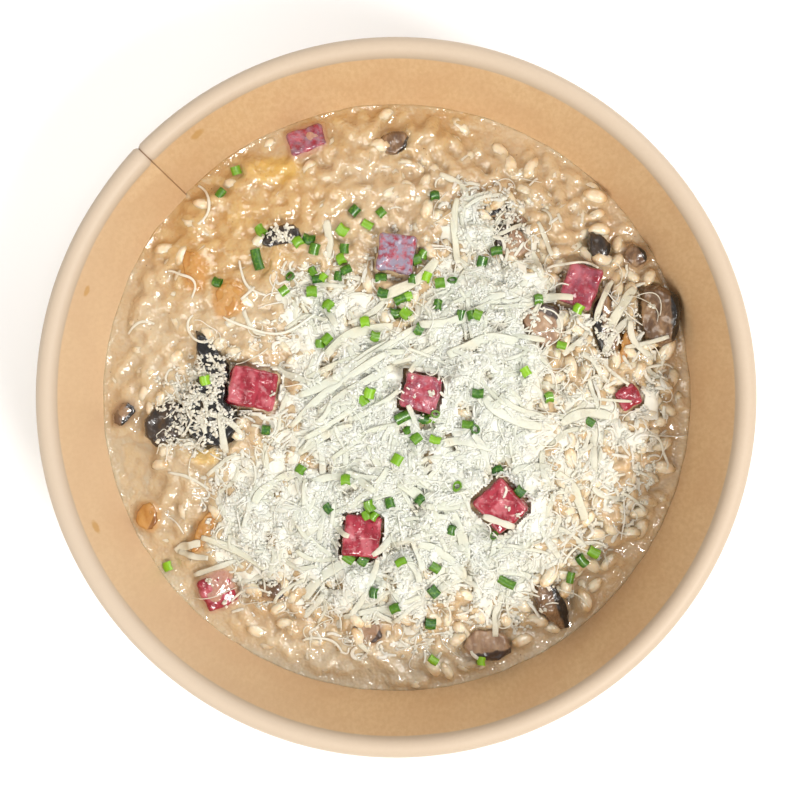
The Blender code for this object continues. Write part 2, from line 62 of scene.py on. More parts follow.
# Paper bowl, as in the source
BOWL_HEIGHT = 60 * MM
RIM_RADIUS = 75 * MM
ROLL_RADIUS = 2.2 * MM
ROLL_TURN = 305
ROLL_STEPS = 20
FOOT_RADIUS = 64 * MM
BOARD = 0.5 * MM
GAP = 0.3 * MM
FOLD_HEIGHT = 5 * MM
BASE_TOP = 7 * MM
SEAM_ANGLE = 136
ROLL_CENTRE = (RIM_RADIUS - ROLL_RADIUS, BOWL_HEIGHT - ROLL_RADIUS)
NECK_RADIUS = RIM_RADIUS - 2 * ROLL_RADIUS + BOARD
TAPER = (NECK_RADIUS - FOOT_RADIUS) / ROLL_CENTRE[1]
WALL_COLUMNS = 360
WALL_LEVELS = 26
# The wall's columns crowd at the seam by this much, within so many degrees of it
SEAM_SQUEEZE = 0.86
SEAM_SPAN = 5.0
# The overlapping board steps in at the seam and levels out over so many degrees
SEAM_STEP = BOARD * 0.9
SEAM_EASE = 9.0
ROLL_STEP = 0.16 * MM
NOTCH_DEPTH = 0.45 * MM
NOTCH_WIDTH = 0.32 * MM

# Food levels, as in the source
SAUCE_LEVEL = 32 * MM
MENISCUS_RISE = 0.7 * MM
MENISCUS_WIDTH = 1.6 * MM
HEAP_FLOOR = BASE_TOP + GAP
EDGE_RISE = 1.2 * MM
MOUND_RISE = 5.5 * MM
MOUND_CENTRE = (16 * MM, -6 * MM)
MOUND_SPREAD = (42 * MM, 38 * MM)
LUMP_RISE = 0.9 * MM
LUMP_SIZE = 9 * MM
POOL_WIDTHS = {
    0: 2.4, 30: 2.6, 60: 3.5, 90: 4.5, 120: 3.6, 150: 4.2, 170: 6.5, 192: 10.5, 207: 8.5,
    218: 6.5, 235: 8.5, 252: 8.5, 268: 7, 285: 6, 303: 5, 318: 5.5, 335: 3.6, 348: 2.6,
}
CHEESE_CENTRE = (6 * MM, -7 * MM)

# Oil spots on the wall: pixel of the photograph, height and radius in millimetres
OIL_SPOTS = ((197, 134, 53, 1.9), (87, 291, 51.6, 1.4), (96, 527, 51.6, 1.7))

# Camera over the bowl
CAMERA = Vector((0.79, -0.56, 305)) * MM
LENS = 53.4
SENSOR = 36.0
FRAME_PIXELS = 800
# The height that places in the food are read at
PLACES_HEIGHT = 36 * MM

# Lamps, each with its place and size in metres, its power in watts and its colour
LAMPS = (
    ("key_light", (0.36, -0.34, 0.76), 0.17, 5.0, (1.0, 0.98, 0.95)),
    ("key_glint", (0.16, -0.1, 0.84), 0.05, 0.5, (1.0, 0.99, 0.97)),
    ("left_fill", (-0.5, -0.5, 0.6), 0.6, 4.0, (1.0, 0.97, 0.9)),
    ("right_fill", (0.5, 0.5, 0.6), 0.6, 4.2, (1.0, 0.98, 0.95)),
)

# Relief of the food and the mesh laid over it
RELIEF_REACH = 70 * MM
RELIEF_STEP = 0.3 * MM
SURFACE_CUTS = 262

# Rice grains
GRAIN_LENGTH = 5.5 * MM
GRAIN_WIDTH = 3.0 * MM
GRAIN_HEIGHT = 2.6 * MM
# Bend and taper of each kind of grain
GRAIN_KINDS = ((0.03, 0.05), (0.06, -0.08), (0.01, 0.14), (-0.04, 0.03), (0.08, 0.1))
# Grains dropped in each layer, the angle they start from and how far out they reach in millimetres
GRAIN_LAYERS = ((1000, 2.3, 66.4), (1080, 7.1, 64.0))
# Ranges of the grains' size and of how high each rests, and how far it rolls in radians
GRAIN_SIZES = (0.84, 1.12)
GRAIN_LIFTS = (0.42, 0.72)
GRAIN_ROLL = 0.6
# How far in and out of the heap's edge the upper grains stray, in millimetres, and further at the right
GRAIN_STRAY_IN = 2
GRAIN_STRAY_OUT = 1.2
GRAIN_STRAY_RIGHT = 4
GRAIN_BED = 2.7 * MM
GRAIN_OVERLAP = 0.36
CLIMB_DEPTH = 1.5 * MM
GOLDEN_ANGLE = math.radians(137.508)

# Sauce between and over the grains
CLUMP_RISE = 1.5 * MM
CLUMP_SIZE = 10 * MM
SAUCE_BLUR = 1.5 * MM
SAUCE_SINK_WET = 0.2 * MM
SAUCE_SINK_DRY = 1.15 * MM
SAUCE_FILM = 0.7 * MM
SAUCE_BARE = 0.12 * MM

# How far below the sauce the grains beside the wall lie, in millimetres, by angle
RING_FLOORS = {0: -0.6, 30: -0.2, 60: 0.6, 90: 1.1, 150: 1.5, 200: 1.7, 270: 1.2, 300: 0, 330: -0.7}

# Places in the food, each with its pixel of the photograph, its reach in pixels and its weight
WET_PLACES = (
    (150, 430, 90, 150, 1.0), (225, 205, 120, 90, 1.0), (380, 125, 130, 42, 0.8), (175, 590, 80, 90, 1.0),
    (330, 672, 150, 40, 0.85), (560, 175, 80, 42, 0.5), (245, 300, 70, 60, 0.8), (330, 200, 90, 60, 0.7),
    (250, 480, 60, 90, 0.5), (560, 655, 60, 30, 0.4), (128, 330, 60, 110, 0.95), (190, 300, 70, 60, 0.9),
    (420, 190, 90, 60, 0.45),
)
SMOOTH_POOLS = (
    (128, 468, 26, 34, 1.9), (165, 592, 24, 34, 1.3), (248, 668, 52, 16, 1.1), (505, 672, 44, 14, 0.8),
    (640, 588, 26, 40, 0.3), (205, 160, 36, 22, 0.7), (118, 330, 14, 40, 0.6),
)
MILKY_PLACES = (
    (330, 668, 160, 32, 0.9), (190, 610, 60, 50, 0.5), (140, 340, 44, 60, 0.5), (250, 180, 40, 26, 0.35),
    (380, 140, 90, 24, 0.5), (560, 650, 60, 30, 0.6),
)
BUTTER_PLACES = (
    (272, 168, 30, 16, 1.0), (204, 457, 18, 10, 0.9), (232, 300, 30, 26, 0.5), (196, 270, 22, 26, 0.4),
    (238, 215, 26, 20, 0.5), (180, 540, 26, 26, 0.4), (450, 155, 30, 16, 0.35),
)

# How sauce and rice glisten: the light that goes into them and the film on them
WET_FILM = {
    "Subsurface_Radius": (1.0, 0.78, 0.55), "Subsurface_Scale": 2.0 * MM, "IOR": 1.55, "Coat_Weight": 1.0,
    "Coat_Roughness": 0.06,
}

HAM_NODES = (
    "ham_cube_top", "ham_cube_left", "ham_cube_centre", "ham_cube_lower", "ham_cube_front",
    "ham_cube_pool", "ham_cube_right", "ham_cube_wall", "ham_cube_hidden",
)
MUSHROOM_NODES = {
    "black": ("black_mushroom", "black_mushroom_curl", "black_mushroom_edge"),
    "brown": ("dark_mushroom_bit", "brown_mushroom_sliver", "brown_mushroom_slice", "brown_mushroom_bit",
              "leaning_mushroom", "wall_mushroom_bit", "rim_mushroom_left", "dark_edged_slice"),
    "grey": ("grey_mushroom_slice", "grey_mushroom_bit", "tan_mushroom_slice", "gilled_slice"),
    "amber": ("orange_mushroom_strip", "amber_mushroom_upper", "amber_mushroom_lower",
              "amber_mushroom_wedge", "amber_mushroom_stem"),
}

# Pieces that sauce runs over, how far below their tops it starts in millimetres, and the tints under it
SUNKEN = {
    "amber_mushroom_upper": 0.5, "amber_mushroom_lower": 0.55, "amber_mushroom_wedge": 0.6,
    "amber_mushroom_stem": 0.7, "rim_mushroom_left": 0.15, "ham_cube_wall": 0.45, "ham_cube_pool": 0.55,
    "brown_mushroom_bit": 0.4, "grey_mushroom_bit": 0.35, "wall_mushroom_bit": 0.7,
}
STAINS = {
    "amber_stain": MUSHROOM_NODES["amber"],
    "brown_stain": ("rim_mushroom_left", "brown_mushroom_bit", "grey_mushroom_bit", "wall_mushroom_bit"),
    "ham_stain": ("ham_cube_wall", "ham_cube_pool"),
}

# The grid that ham and mushrooms are remeshed on, and the height and size of the bumps on them
HAM_VOXEL = 0.3 * MM
HAM_BUMPS = (0.42 * MM, 3.6 * MM)
MUSHROOM_VOXEL = 0.32 * MM
MUSHROOM_BUMPS = (0.4 * MM, 2.4 * MM)
BLACK_MUSHROOM_BUMPS = (0.45 * MM, 2.4 * MM)

# The side of a mushroom piece that its skin is on, in degrees, and how far across it starts
PLAIN_SKIN = (-30, 0.75)
SKIN_SIDES = {
    "leaning_mushroom": (6, 0.7), "brown_mushroom_slice": (190, 0.62), "dark_edged_slice": (30, 0.56),
    "gilled_slice": (-75, 0.66), "tan_mushroom_slice": (60, 0.7), "brown_mushroom_sliver": (100, 0.45),
    "grey_mushroom_slice": (150, 0.6), "rim_mushroom_left": (-20, 0.5), "wall_mushroom_bit": (30, 0.6),
    "black_mushroom": (20, 0.3), "amber_mushroom_upper": (200, 0.8), "amber_mushroom_lower": (240, 0.85),
}
# Colours of each kind's flesh, its shade and its skin, and how rough it is
MUSHROOM_LOOKS = {
    "black": ((70, 54, 40), (34, 26, 20), (18, 14, 13), 0.16),
    "brown": ((148, 116, 82), (92, 66, 46), (26, 20, 17), 0.2),
    "grey": ((176, 146, 116), (132, 100, 74), (56, 40, 34), 0.35),
    "amber": ((186, 138, 72), (166, 112, 50), (134, 86, 38), 0.14),
}
# How strong the silvery sheen painted into each ham cube's colour is
HAM_PAINTED_SHEEN = {"ham_cube_top": 1.9, "ham_cube_wall": 0.8, "ham_cube_centre": 0.4, "ham_cube_right": 0.3}

# Where grated cheese lies, each with its pixel, its reach in pixels and its weight
CHEESE_DRIFTS = (
    (485, 328, 58, 70, 1.0), (392, 408, 104, 70, 1.0), (372, 525, 84, 84, 1.0), (492, 535, 60, 70, 0.8),
    (262, 520, 52, 70, 0.55), (622, 415, 66, 40, 0.4), (206, 408, 34, 40, 0.55), (488, 226, 44, 42, 0.55),
    (604, 330, 60, 46, 0.22), (395, 632, 84, 36, 0.2), (596, 484, 62, 62, 0.28), (330, 320, 56, 46, 0.5),
    (440, 460, 112, 118, 0.8),
)
CHEESE_EDGE = 62 * MM
# The bed under the shreds: its height and sink, depth, span in millimetres, mesh and tone
CHEESE_BED_RISE = 3.3 * MM
CHEESE_BED_SINK = 1.95 * MM
CHEESE_BED_DEPTH = 1.2 * MM
CHEESE_BED_SPAN = (108, 102)
CHEESE_BED_CUTS = (236, 224)
CHEESE_BED_TONE = 0.85
# How much of the cheese stays on what stands in it
CHEESE_KEPT = {"ham": 0.05, "mushroom": 0.35}
# Where a dust of the finest crumbs lies, in the same terms
CRUMB_PLACES = (
    (204, 398, 34, 34, 1.0), (184, 436, 20, 20, 0.6), (222, 372, 18, 24, 0.7), (280, 234, 14, 8, 0.9),
    (488, 220, 30, 26, 0.8), (400, 232, 24, 8, 0.4), (600, 336, 30, 26, 0.5), (262, 540, 40, 40, 0.5),
    (380, 510, 60, 60, 0.6),
)
CRUMBS = 2500
CRUMB_KINDS = 5
CRUMB_LUMPS = 5
CRUMB_SIZE = 0.46 * MM
# Loose shreds: the piece, how many, their lengths, widths and thickness in millimetres, their steps, how much
# they keep to thick places, how far they curl and how far they tip, and their tones
SHREDS = (
    ("cheese_ribbons", 320, (4, 11), (0.7, 1.7), 0.08, 12, 1.2, 1.4, 0.12, (0, 0.35)),
    ("cheese_curls", 2000, (1.6, 5.0), (0.25, 0.9), 0.08, 8, 1.0, 2.8, 0.2, (0.3, 1)),
    ("cheese_long_shreds", 460, (4, 12), (0.18, 0.36), 0.14, 14, 0.8, 4.6, 0.4, (0.3, 1)),
)
SHAVING_WIDTHS = (1.3, 2.6)
THREAD_WIDTH = 0.6
# The height that shavings and chives are seen at
TOPPING_HEIGHT = 38 * MM

# Broad shavings, end to end in pixels of the photograph, and how far they bow sideways in millimetres
BROAD_SHAVINGS = (
    ((288, 424), (384, 352), 1.2), ((300, 398), (400, 340), -1.0), ((306, 374), (404, 348), 1.4),
    ((322, 434), (402, 392), -1.2), ((322, 350), (392, 322), 2.0), ((330, 456), (404, 418), 1.4),
    ((372, 352), (446, 316), 1.0), ((392, 366), (462, 332), -1.0), ((306, 440), (372, 394), -0.8),
    ((340, 372), (418, 330), 0.8), ((318, 412), (392, 366), 0.6), ((296, 452), (352, 424), 1.0),
    ((420, 330), (505, 300), -1.6), ((446, 352), (520, 336), 1.8), ((200, 537), (265, 569), 0.6),
    ((170, 553), (198, 544), 0.4), ((326, 218), (328, 256), 0.5), ((455, 196), (457, 262), -0.8),
    ((595, 320), (614, 278), 0.8), ((610, 328), (636, 286), 0.7), ((520, 302), (573, 295), 0.8),
    ((495, 640), (503, 594), 0.5), ((560, 420), (612, 412), 1.6), ((440, 440), (492, 446), 1.2),
    ((330, 520), (392, 470), -1.8), ((420, 540), (470, 578), 2.0), ((380, 560), (352, 620), 1.0),
    ((300, 600), (345, 560), 1.4), ((250, 500), (300, 470), 1.8), ((480, 400), (540, 430), -1.6),
    ((445, 500), (470, 560), 1.2), ((560, 470), (590, 520), 1.4), ((380, 300), (440, 262), -1.4),
    ((310, 480), (372, 476), 0.8), ((292, 520), (330, 560), -1.0), ((400, 480), (440, 520), 1.0),
)
# Thin threads that lie apart, in the same terms
THREAD_SHAVINGS = (
    ((201, 176), (203, 226), 3.0), ((218, 326), (320, 325), -4.0), ((177, 314), (212, 350), -4.6),
    ((166, 262), (200, 296), 3.0), ((232, 260), (262, 300), -2.0), ((120, 330), (150, 318), 1.5),
    ((540, 268), (600, 262), 2.4), ((640, 372), (680, 362), 2.0), ((655, 430), (676, 470), 2.0),
    ((560, 560), (610, 540), 2.6), ((225, 600), (270, 590), 2.0), ((300, 640), (345, 652), 2.0),
)

# Chive pieces: pixel of the photograph and length in millimetres
CHIVES = (
    (354, 208, 3.0), (381, 210, 2.6), (367, 222, 3.4), (342, 228, 3.4), (344, 247, 3.0), (341, 258, 2.6),
    (346, 269, 3.2), (338, 275, 2.8), (297, 241, 3.0), (308, 237, 3.4), (314, 248, 3.4), (260, 229, 3.0),
    (256, 258, 6.4), (312, 270, 2.6), (316, 278, 3.0), (322, 276, 2.4), (311, 291, 3.2), (328, 305, 3.0),
    (289, 275, 1.4), (283, 290, 2.8), (381, 277, 3.4), (413, 279, 2.8), (427, 277, 3.0), (440, 283, 3.0),
    (416, 259, 2.6), (424, 253, 2.6), (383, 292, 3.2), (400, 299, 3.6), (408, 296, 2.4), (395, 312, 3.0),
    (406, 313, 3.0), (438, 305, 3.2), (419, 329, 2.6), (461, 315, 3.2), (471, 316, 2.8), (477, 315, 2.6),
    (483, 261, 3.4), (497, 250, 3.4), (453, 280, 1.4), (365, 322, 2.6), (375, 336, 2.6), (326, 339, 3.2),
    (320, 343, 2.6), (370, 393, 3.0), (364, 400, 3.0), (477, 393, 3.4), (403, 417, 5.0), (409, 429, 3.4),
    (416, 438, 3.0), (424, 418, 2.8), (430, 419, 2.6), (435, 414, 1.4), (435, 439, 3.4), (467, 424, 3.4),
    (474, 429, 1.4), (397, 459, 3.2), (591, 422, 2.8), (498, 471, 3.4), (457, 485, 1.4), (519, 491, 3.0),
    (494, 535, 1.4), (596, 554, 3.6), (584, 562, 3.6), (573, 580, 3.4), (508, 584, 5.4), (435, 568, 3.2),
    (434, 593, 3.4), (431, 626, 3.2), (434, 664, 3.0), (483, 665, 2.6), (401, 562, 3.2), (265, 430, 2.6),
    (328, 509, 3.0), (370, 505, 3.4), (367, 515, 2.8), (390, 503, 3.0), (374, 516, 2.6), (349, 558, 3.4),
    (363, 560, 3.0), (374, 594, 3.2), (216, 281, 2.6), (205, 380, 2.8), (579, 309, 2.8), (233, 166, 2.6),
    (218, 190, 3.0), (435, 194, 2.6), (163, 570, 2.8), (538, 300, 2.6), (562, 345, 2.8), (525, 372, 2.8),
    (548, 398, 2.4), (346, 480, 2.8), (420, 500, 3.0), (452, 530, 2.8), (300, 470, 2.6), (395, 610, 3.0),
)
CHIVE_RADIUS = 1.15 * MM
CHIVE_WALL = 0.3 * MM
CHIVE_SHORTENING = 0.74
CHIVE_SIDES = 10
# Ranges of how thick the rings are and how flat they lie pressed
CHIVE_GIRTHS = (0.78, 1.12)
CHIVE_SQUASHES = (0.62, 1.0)
# Pieces listed as shorter than this in millimetres stand on end, tilted by so many degrees
CHIVE_STANDING = 2
CHIVE_TILT = 70


# Small tools for selecting, meshes and the relief


def deselect():
    if bpy.context.object and bpy.context.object.mode != "OBJECT":
        bpy.ops.object.mode_set(mode="OBJECT")
    bpy.ops.object.select_all(action="DESELECT")


def keep(name, finish, replaced=()):
    """Names the active piece, gives it its finish and fixes it to the bowl."""
    piece = bpy.context.object
    piece.name = name
    piece.data.name = name
    piece.data.materials.clear()
    piece.data.materials.append(finish)
    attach(piece, "root")
    if replaced:
        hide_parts(*replaced)
    return piece


def apply_modifier(piece, kind, **settings):
    modifier = piece.modifiers.new(kind.lower(), kind)
    for key, value in settings.items():
        setattr(modifier, key, value)
    bpy.context.view_layer.objects.active = piece
    bpy.ops.object.modifier_apply(modifier=modifier.name)


def points_of(mesh):
    flat = np.empty(len(mesh.vertices) * 3)
    mesh.vertices.foreach_get("co", flat)
    return flat.reshape(-1, 3)


def move_points(mesh, points):
    mesh.vertices.foreach_set("co", np.ascontiguousarray(points, dtype=float).ravel())
    mesh.update()


def new_piece(name, points, faces):
    """An object from arrays of points and faces, made the active one."""
    deselect()
    mesh = bpy.data.meshes.new(name)
    mesh.from_pydata(points.tolist(), [], faces)
    mesh.shade_smooth()
    piece = bpy.data.objects.new(name, mesh)
    bpy.context.scene.collection.objects.link(piece)
    piece.select_set(True)
    bpy.context.view_layer.objects.active = piece
    return piece


def add_tone(piece, name, values):
    layer = piece.data.attributes.new(name, "FLOAT", "POINT")
    layer.data.foreach_set("value", np.ascontiguousarray(values, dtype=float))


def around(table, angle):
    """Values read from an angle table, eased from one entry to the next."""
    keys = sorted(table)
    angles = np.array([keys[-1] - 360] + keys + [keys[0] + 360], dtype=float)
    values = np.array([table[keys[-1]]] + [table[k] for k in keys] + [table[keys[0]]], dtype=float)
    degrees = np.degrees(angle) % 360
    after = np.clip(np.searchsorted(angles, degrees, side="right"), 1, len(angles) - 1)
    share = (degrees - angles[after - 1]) / (angles[after] - angles[after - 1])
    share = share * share * (3 - 2 * share)
    return values[after - 1] * (1 - share) + values[after] * share


def outer_wall(height):
    return FOOT_RADIUS + TAPER * height


def rice_edge(angle, height=SAUCE_LEVEL):
    return outer_wall(height) - BOARD - around(POOL_WIDTHS, angle) * MM


def soft_max(first, second, blend):
    return np.maximum(first, second) + blend * np.log1p(np.exp(-np.abs(first - second) / blend))


def blurred(field, reach):
    """A field smoothed over a reach in metres."""
    spread = reach / RELIEF_STEP
    half = int(3 * spread) + 1
    kernel = np.exp(-0.5 * (np.arange(-half, half + 1) / spread) ** 2)
    kernel /= kernel.sum()
    for axis in (0, 1):
        padded = np.pad(field, [(half, half) if a == axis else (0, 0) for a in (0, 1)], mode="edge")
        field = np.apply_along_axis(lambda row: np.convolve(row, kernel, mode="valid"), axis, padded)
    return field


class Relief:
    """Heights on a square grid. Each layer of food rests on them and then raises them."""

    def __init__(self):
        count = int(round(2 * RELIEF_REACH / RELIEF_STEP)) + 1
        axis = np.linspace(-RELIEF_REACH, RELIEF_REACH, count)
        self.x, self.y = np.meshgrid(axis, axis, indexing="ij")
        self.radius = np.hypot(self.x, self.y)
        self.angle = np.arctan2(self.y, self.x)
        self.height = np.zeros_like(self.x)

    def cells(self, x, y):
        last = len(self.x) - 1
        return tuple(
            np.clip(np.rint((np.asarray(v) + RELIEF_REACH) / RELIEF_STEP).astype(int), 0, last)
            for v in (x, y)
        )

    def at(self, x, y, field=None):
        """Heights, or another field, read between the grid's points."""
        field = self.height if field is None else field
        last = len(self.x) - 2
        u = np.clip((np.asarray(x) + RELIEF_REACH) / RELIEF_STEP, 0, last + 0.999)
        v = np.clip((np.asarray(y) + RELIEF_REACH) / RELIEF_STEP, 0, last + 0.999)
        i, j = u.astype(int), v.astype(int)
        u, v = u - i, v - j
        near = field[i, j] * (1 - u) + field[i + 1, j] * u
        far = field[i, j + 1] * (1 - u) + field[i + 1, j + 1] * u
        return near * (1 - v) + far * v

    def bumps(self, size, seed):
        """Smooth noise about zero, with features of a size in metres."""
        flat = [noise.noise(Vector((x / size, y / size, seed)))
                for x, y in zip(self.x.ravel(), self.y.ravel())]
        return np.array(flat).reshape(self.x.shape)

    def raise_to(self, x, y, z):
        np.maximum.at(self.height, self.cells(x, y), z)


def pixels_per_metre(height):
    """The photograph's scale at a height over the table."""
    return LENS / SENSOR * FRAME_PIXELS / (CAMERA.z - height)


def seen_at(px, py, height):
    """The point at a height that the camera sees in a pixel of the photograph."""
    scale = pixels_per_metre(height)
    half = FRAME_PIXELS / 2
    return CAMERA.x + (px - half) / scale, CAMERA.y + (half - py) / scale


def places_field(relief, table):
    """The strongest of the listed places at each point of the relief, from 0 to 1."""
    field = np.zeros_like(relief.height)
    scale = pixels_per_metre(PLACES_HEIGHT)
    for px, py, reach_x, reach_y, weight in table:
        x, y = seen_at(px, py, PLACES_HEIGHT)
        far = ((relief.x - x) * scale / reach_x) ** 2 + ((relief.y - y) * scale / reach_y) ** 2
        field = np.maximum(field, weight * np.exp(-0.8 * far**1.5))
    return field


def footprint(relief, points):
    """The highest of a piece's points over each cell of the relief, and -1 where there are none."""
    field = np.full_like(relief.height, -1.0)
    np.maximum.at(field, relief.cells(points[:, 0], points[:, 1]), points[:, 2])
    rows, columns = field.shape
    wide = np.pad(field, 1, constant_values=-1.0)
    return np.maximum.reduce([wide[i:i + rows, j:j + columns] for i in range(3) for j in range(3)])


# Shader maths and finishes


class Value:
    """A socket's output, so that shader maths reads as an expression."""

    def __init__(self, finish, socket):
        self.finish, self.socket = finish, socket

    def maths(self, operation, first, second=None):
        inputs = {0: first} if second is None else {0: first, 1: second}
        return self.finish.node("ShaderNodeMath", {"operation": operation}, inputs)

    def __add__(self, other):
        return self.maths("ADD", self, other)

    def __radd__(self, other):
        return self.maths("ADD", other, self)

    def __sub__(self, other):
        return self.maths("SUBTRACT", self, other)

    def __rsub__(self, other):
        return self.maths("SUBTRACT", other, self)

    def __mul__(self, other):
        return self.maths("MULTIPLY", self, other)

    def __rmul__(self, other):
        return self.maths("MULTIPLY", other, self)

    def __pow__(self, other):
        return self.maths("POWER", self, other)


class Finish:
    """A material whose nodes are added by expressions and by one method."""

    def __init__(self, name):
        self.material = bpy.data.materials.new(name)
        self.material.use_nodes = True
        self.tree = self.material.node_tree
        self.shader = self.tree.nodes["Principled BSDF"]

    def node(self, kind, settings=None, inputs=None, output=0):
        made = self.tree.nodes.new(kind)
        for key, value in (settings or {}).items():
            setattr(made, key, value)
        for key, value in (inputs or {}).items():
            self.feed(made.inputs[key], value)
        return Value(self, made.outputs[output])

    def feed(self, socket, value):
        if isinstance(value, Value):
            self.tree.links.new(value.socket, socket)
        else:
            socket.default_value = value

    def place(self, scale=(1, 1, 1)):
        """Object coordinates, in metres, stretched by a scale."""
        coordinates = self.node("ShaderNodeTexCoord", output="Object")
        return self.node("ShaderNodeMapping", inputs={"Vector": coordinates, "Scale": scale})

    def noise(self, size, detail=3, roughness=0.55, stretch=(1, 1, 1), output=0, distortion=0.0):
        """Noise from 0 to 1 with features of a size in metres."""
        return self.node(
            "ShaderNodeTexNoise",
            inputs={"Vector": self.place(stretch), "Scale": 1 / size, "Detail": detail,
                    "Roughness": roughness, "Distortion": distortion},
            output=output,
        )

    def bubbles(self, size, share):
        """Small domes a size apart in metres, each as wide as a share of that."""
        far = self.node("ShaderNodeTexVoronoi", inputs={"Vector": self.place(), "Scale": 1 / size})
        return 1 - self.band(far, 0.0, share)

    def tone(self, name):
        return self.node("ShaderNodeAttribute", {"attribute_name": name}, output="Fac")

    def band(self, value, low, high):
        """0 below low, 1 above high, eased between them."""
        return self.node(
            "ShaderNodeMapRange",
            {"interpolation_type": "SMOOTHSTEP"},
            {"Value": value, "From Min": low, "From Max": high, "To Min": 0.0, "To Max": 1.0},
        )

    def mix(self, factor, first, second):
        return self.node(
            "ShaderNodeMix", {"data_type": "RGBA"},
            {0: factor, 6: first, 7: second}, output=2,
        )

    def bump(self, height, distance, strength=1.0, normal=None):
        inputs = {"Height": height, "Distance": distance, "Strength": strength}
        if normal is not None:
            inputs["Normal"] = normal
        return self.node("ShaderNodeBump", inputs=inputs)

    def done(self, **inputs):
        for key, value in inputs.items():
            self.feed(self.shader.inputs[key.replace("_", " ")], value)
        return self.material


def rgb(red, green, blue):
    """A colour as seen on screen, in the renderer's linear values."""
    linear = [c / 12.92 if c <= 0.04045 else ((c + 0.055) / 1.055) ** 2.4
              for c in (red / 255, green / 255, blue / 255)]
    return (*linear, 1)


def kraft_board():
    """Brown board with short fibres and flecks, satin inside, paler where the rim is stretched, and paled by
    painted light towards the left.
    """
    board = Finish("kraft_board")
    place = board.node("ShaderNodeTexCoord", output="Object")
    split = {axis: board.node("ShaderNodeSeparateXYZ", inputs={"Vector": place}, output=axis)
             for axis in ("X", "Y", "Z")}
    fibres = board.noise(0.9 * MM, detail=4, stretch=(1, 1, 0.35))
    flecks = board.band(board.noise(0.45 * MM, detail=2, stretch=(0.6, 0.6, 1.4)), 0.66, 0.78)
    clouds = board.noise(14 * MM, detail=3)
    rim = board.band(split["Z"] + (clouds - 0.5) * MM, 57.3 * MM, 58.2 * MM)
    colour = board.mix(board.band(fibres, 0.3, 0.7), rgb(208, 172, 128), rgb(218, 185, 143))
    colour = board.mix(board.band(clouds, 0.35, 0.7) * 0.35, colour, rgb(200, 158, 116))
    # Painted light: the wall's colour is made paler towards the left, the side the key lamp lights most.
    painted_light_left = board.band(-1 * split["X"] - 0.3 * split["Y"], 20 * MM, 66 * MM)
    colour = board.mix(painted_light_left * 0.45, colour, rgb(216, 192, 162))
    colour = board.mix(flecks * 0.22, colour, rgb(166, 124, 84))
    colour = board.mix(rim * 0.85, colour, rgb(184, 168, 150))
    for px, py, level, size in OIL_SPOTS:
        height = level * MM
        x, y = seen_at(px, py, height)
        share = outer_wall(height) / math.hypot(x, y)
        aside = (split["X"] - x * share) ** 2 + (split["Y"] - y * share) ** 2
        far = (aside + (split["Z"] - height) ** 2) ** 0.5
        spot = 1 - board.band(far + (fibres - 0.5) * 0.9 * MM, size * MM * 0.6, size * MM * 1.2)
        colour = board.mix(spot * 0.7, colour, rgb(190, 144, 76))
    turn = math.radians(SEAM_ANGLE)
    aside = split["X"] * math.sin(turn) - split["Y"] * math.cos(turn)
    aside = board.node("ShaderNodeMath", {"operation": "ABSOLUTE"}, {0: aside})
    seam = 1 - board.band(aside, 0.07 * MM, 0.2 * MM)
    seam = seam * board.band(split["Y"] - split["X"], 40 * MM, 60 * MM)
    colour = board.mix(seam * 0.75, colour, rgb(112, 72, 42))
    relief = board.bump(board.noise(0.5 * MM, detail=5), 0.05 * MM, 0.6)
    return board.done(
        Base_Color=colour, Roughness=0.5 + fibres * 0.16, Normal=relief, Specular_IOR_Level=0.4,
        Coat_Weight=0.12, Coat_Roughness=0.35,
    )


def creamy_sauce():
    """Cream and butter: pale over grains that lie just under it, darker in the hollows between them, where
    more sauce lies and where shade is painted.
    """
    sauce = Finish("creamy_sauce")
    cover = sauce.tone("cover")
    fine = sauce.noise(1.6 * MM, detail=3)
    swirls = sauce.noise(9 * MM, detail=4, distortion=0.8)
    golden = sauce.band(sauce.tone("golden") + (swirls - 0.5), 0.25, 0.9)
    # Partly painted shade: the sauce is darker in the hollows between grains, both for the thicker sauce
    # there and for the shade that falls in them.
    thick = 1 - sauce.band(sauce.tone("lump") + (fine - 0.5) * 0.5, -0.7, 0.7)
    pale = sauce.mix(golden, rgb(197, 176, 142), rgb(194, 164, 114))
    deep_and_shaded = sauce.mix(golden, rgb(188, 164, 130), rgb(182, 144, 92))
    colour = sauce.mix(thick, pale, deep_and_shaded)
    colour = sauce.mix((1 - sauce.tone("wet")) * 0.45, colour, rgb(198, 164, 122))
    colour = sauce.mix(sauce.band(cover, 1.7, 2.6) * (1 - golden), colour, rgb(188, 170, 140))
    butter = sauce.band(sauce.tone("butter") + (fine - 0.5) * 0.5, 0.3, 0.9)
    colour = sauce.mix(butter * 0.6, colour, rgb(214, 176, 84))
    cream = sauce.band(sauce.noise(3.2 * MM, detail=3, distortion=0.5), 0.56, 0.74)
    colour = sauce.mix(cream * 0.45, colour, rgb(212, 199, 172))
    milky = sauce.band(sauce.tone("milky") + (sauce.noise(4 * MM, detail=3) - 0.5) * 0.8, 0.2, 0.9)
    colour = sauce.mix(milky * 0.6, colour, rgb(208, 194, 168))
    for stain, tint in (
        ("amber_stain", rgb(190, 136, 64)),
        ("brown_stain", rgb(132, 98, 72)),
        ("ham_stain", rgb(178, 122, 112)),
    ):
        colour = sauce.mix(sauce.band(sauce.tone(stain) + (fine - 0.5) * 0.3, 0.1, 0.9) * 0.75, colour, tint)
    specks = sauce.band(sauce.noise(0.7 * MM, detail=1), 0.77, 0.8)
    colour = sauce.mix(specks * 0.75, colour, rgb(92, 62, 40))
    ripple = sauce.bump(sauce.noise(1.3 * MM, detail=1), 0.45 * MM, 0.9)
    return sauce.done(
        Base_Color=colour, Roughness=0.07 + fine * 0.08, Normal=ripple, Subsurface_Weight=0.6, **WET_FILM,
    )


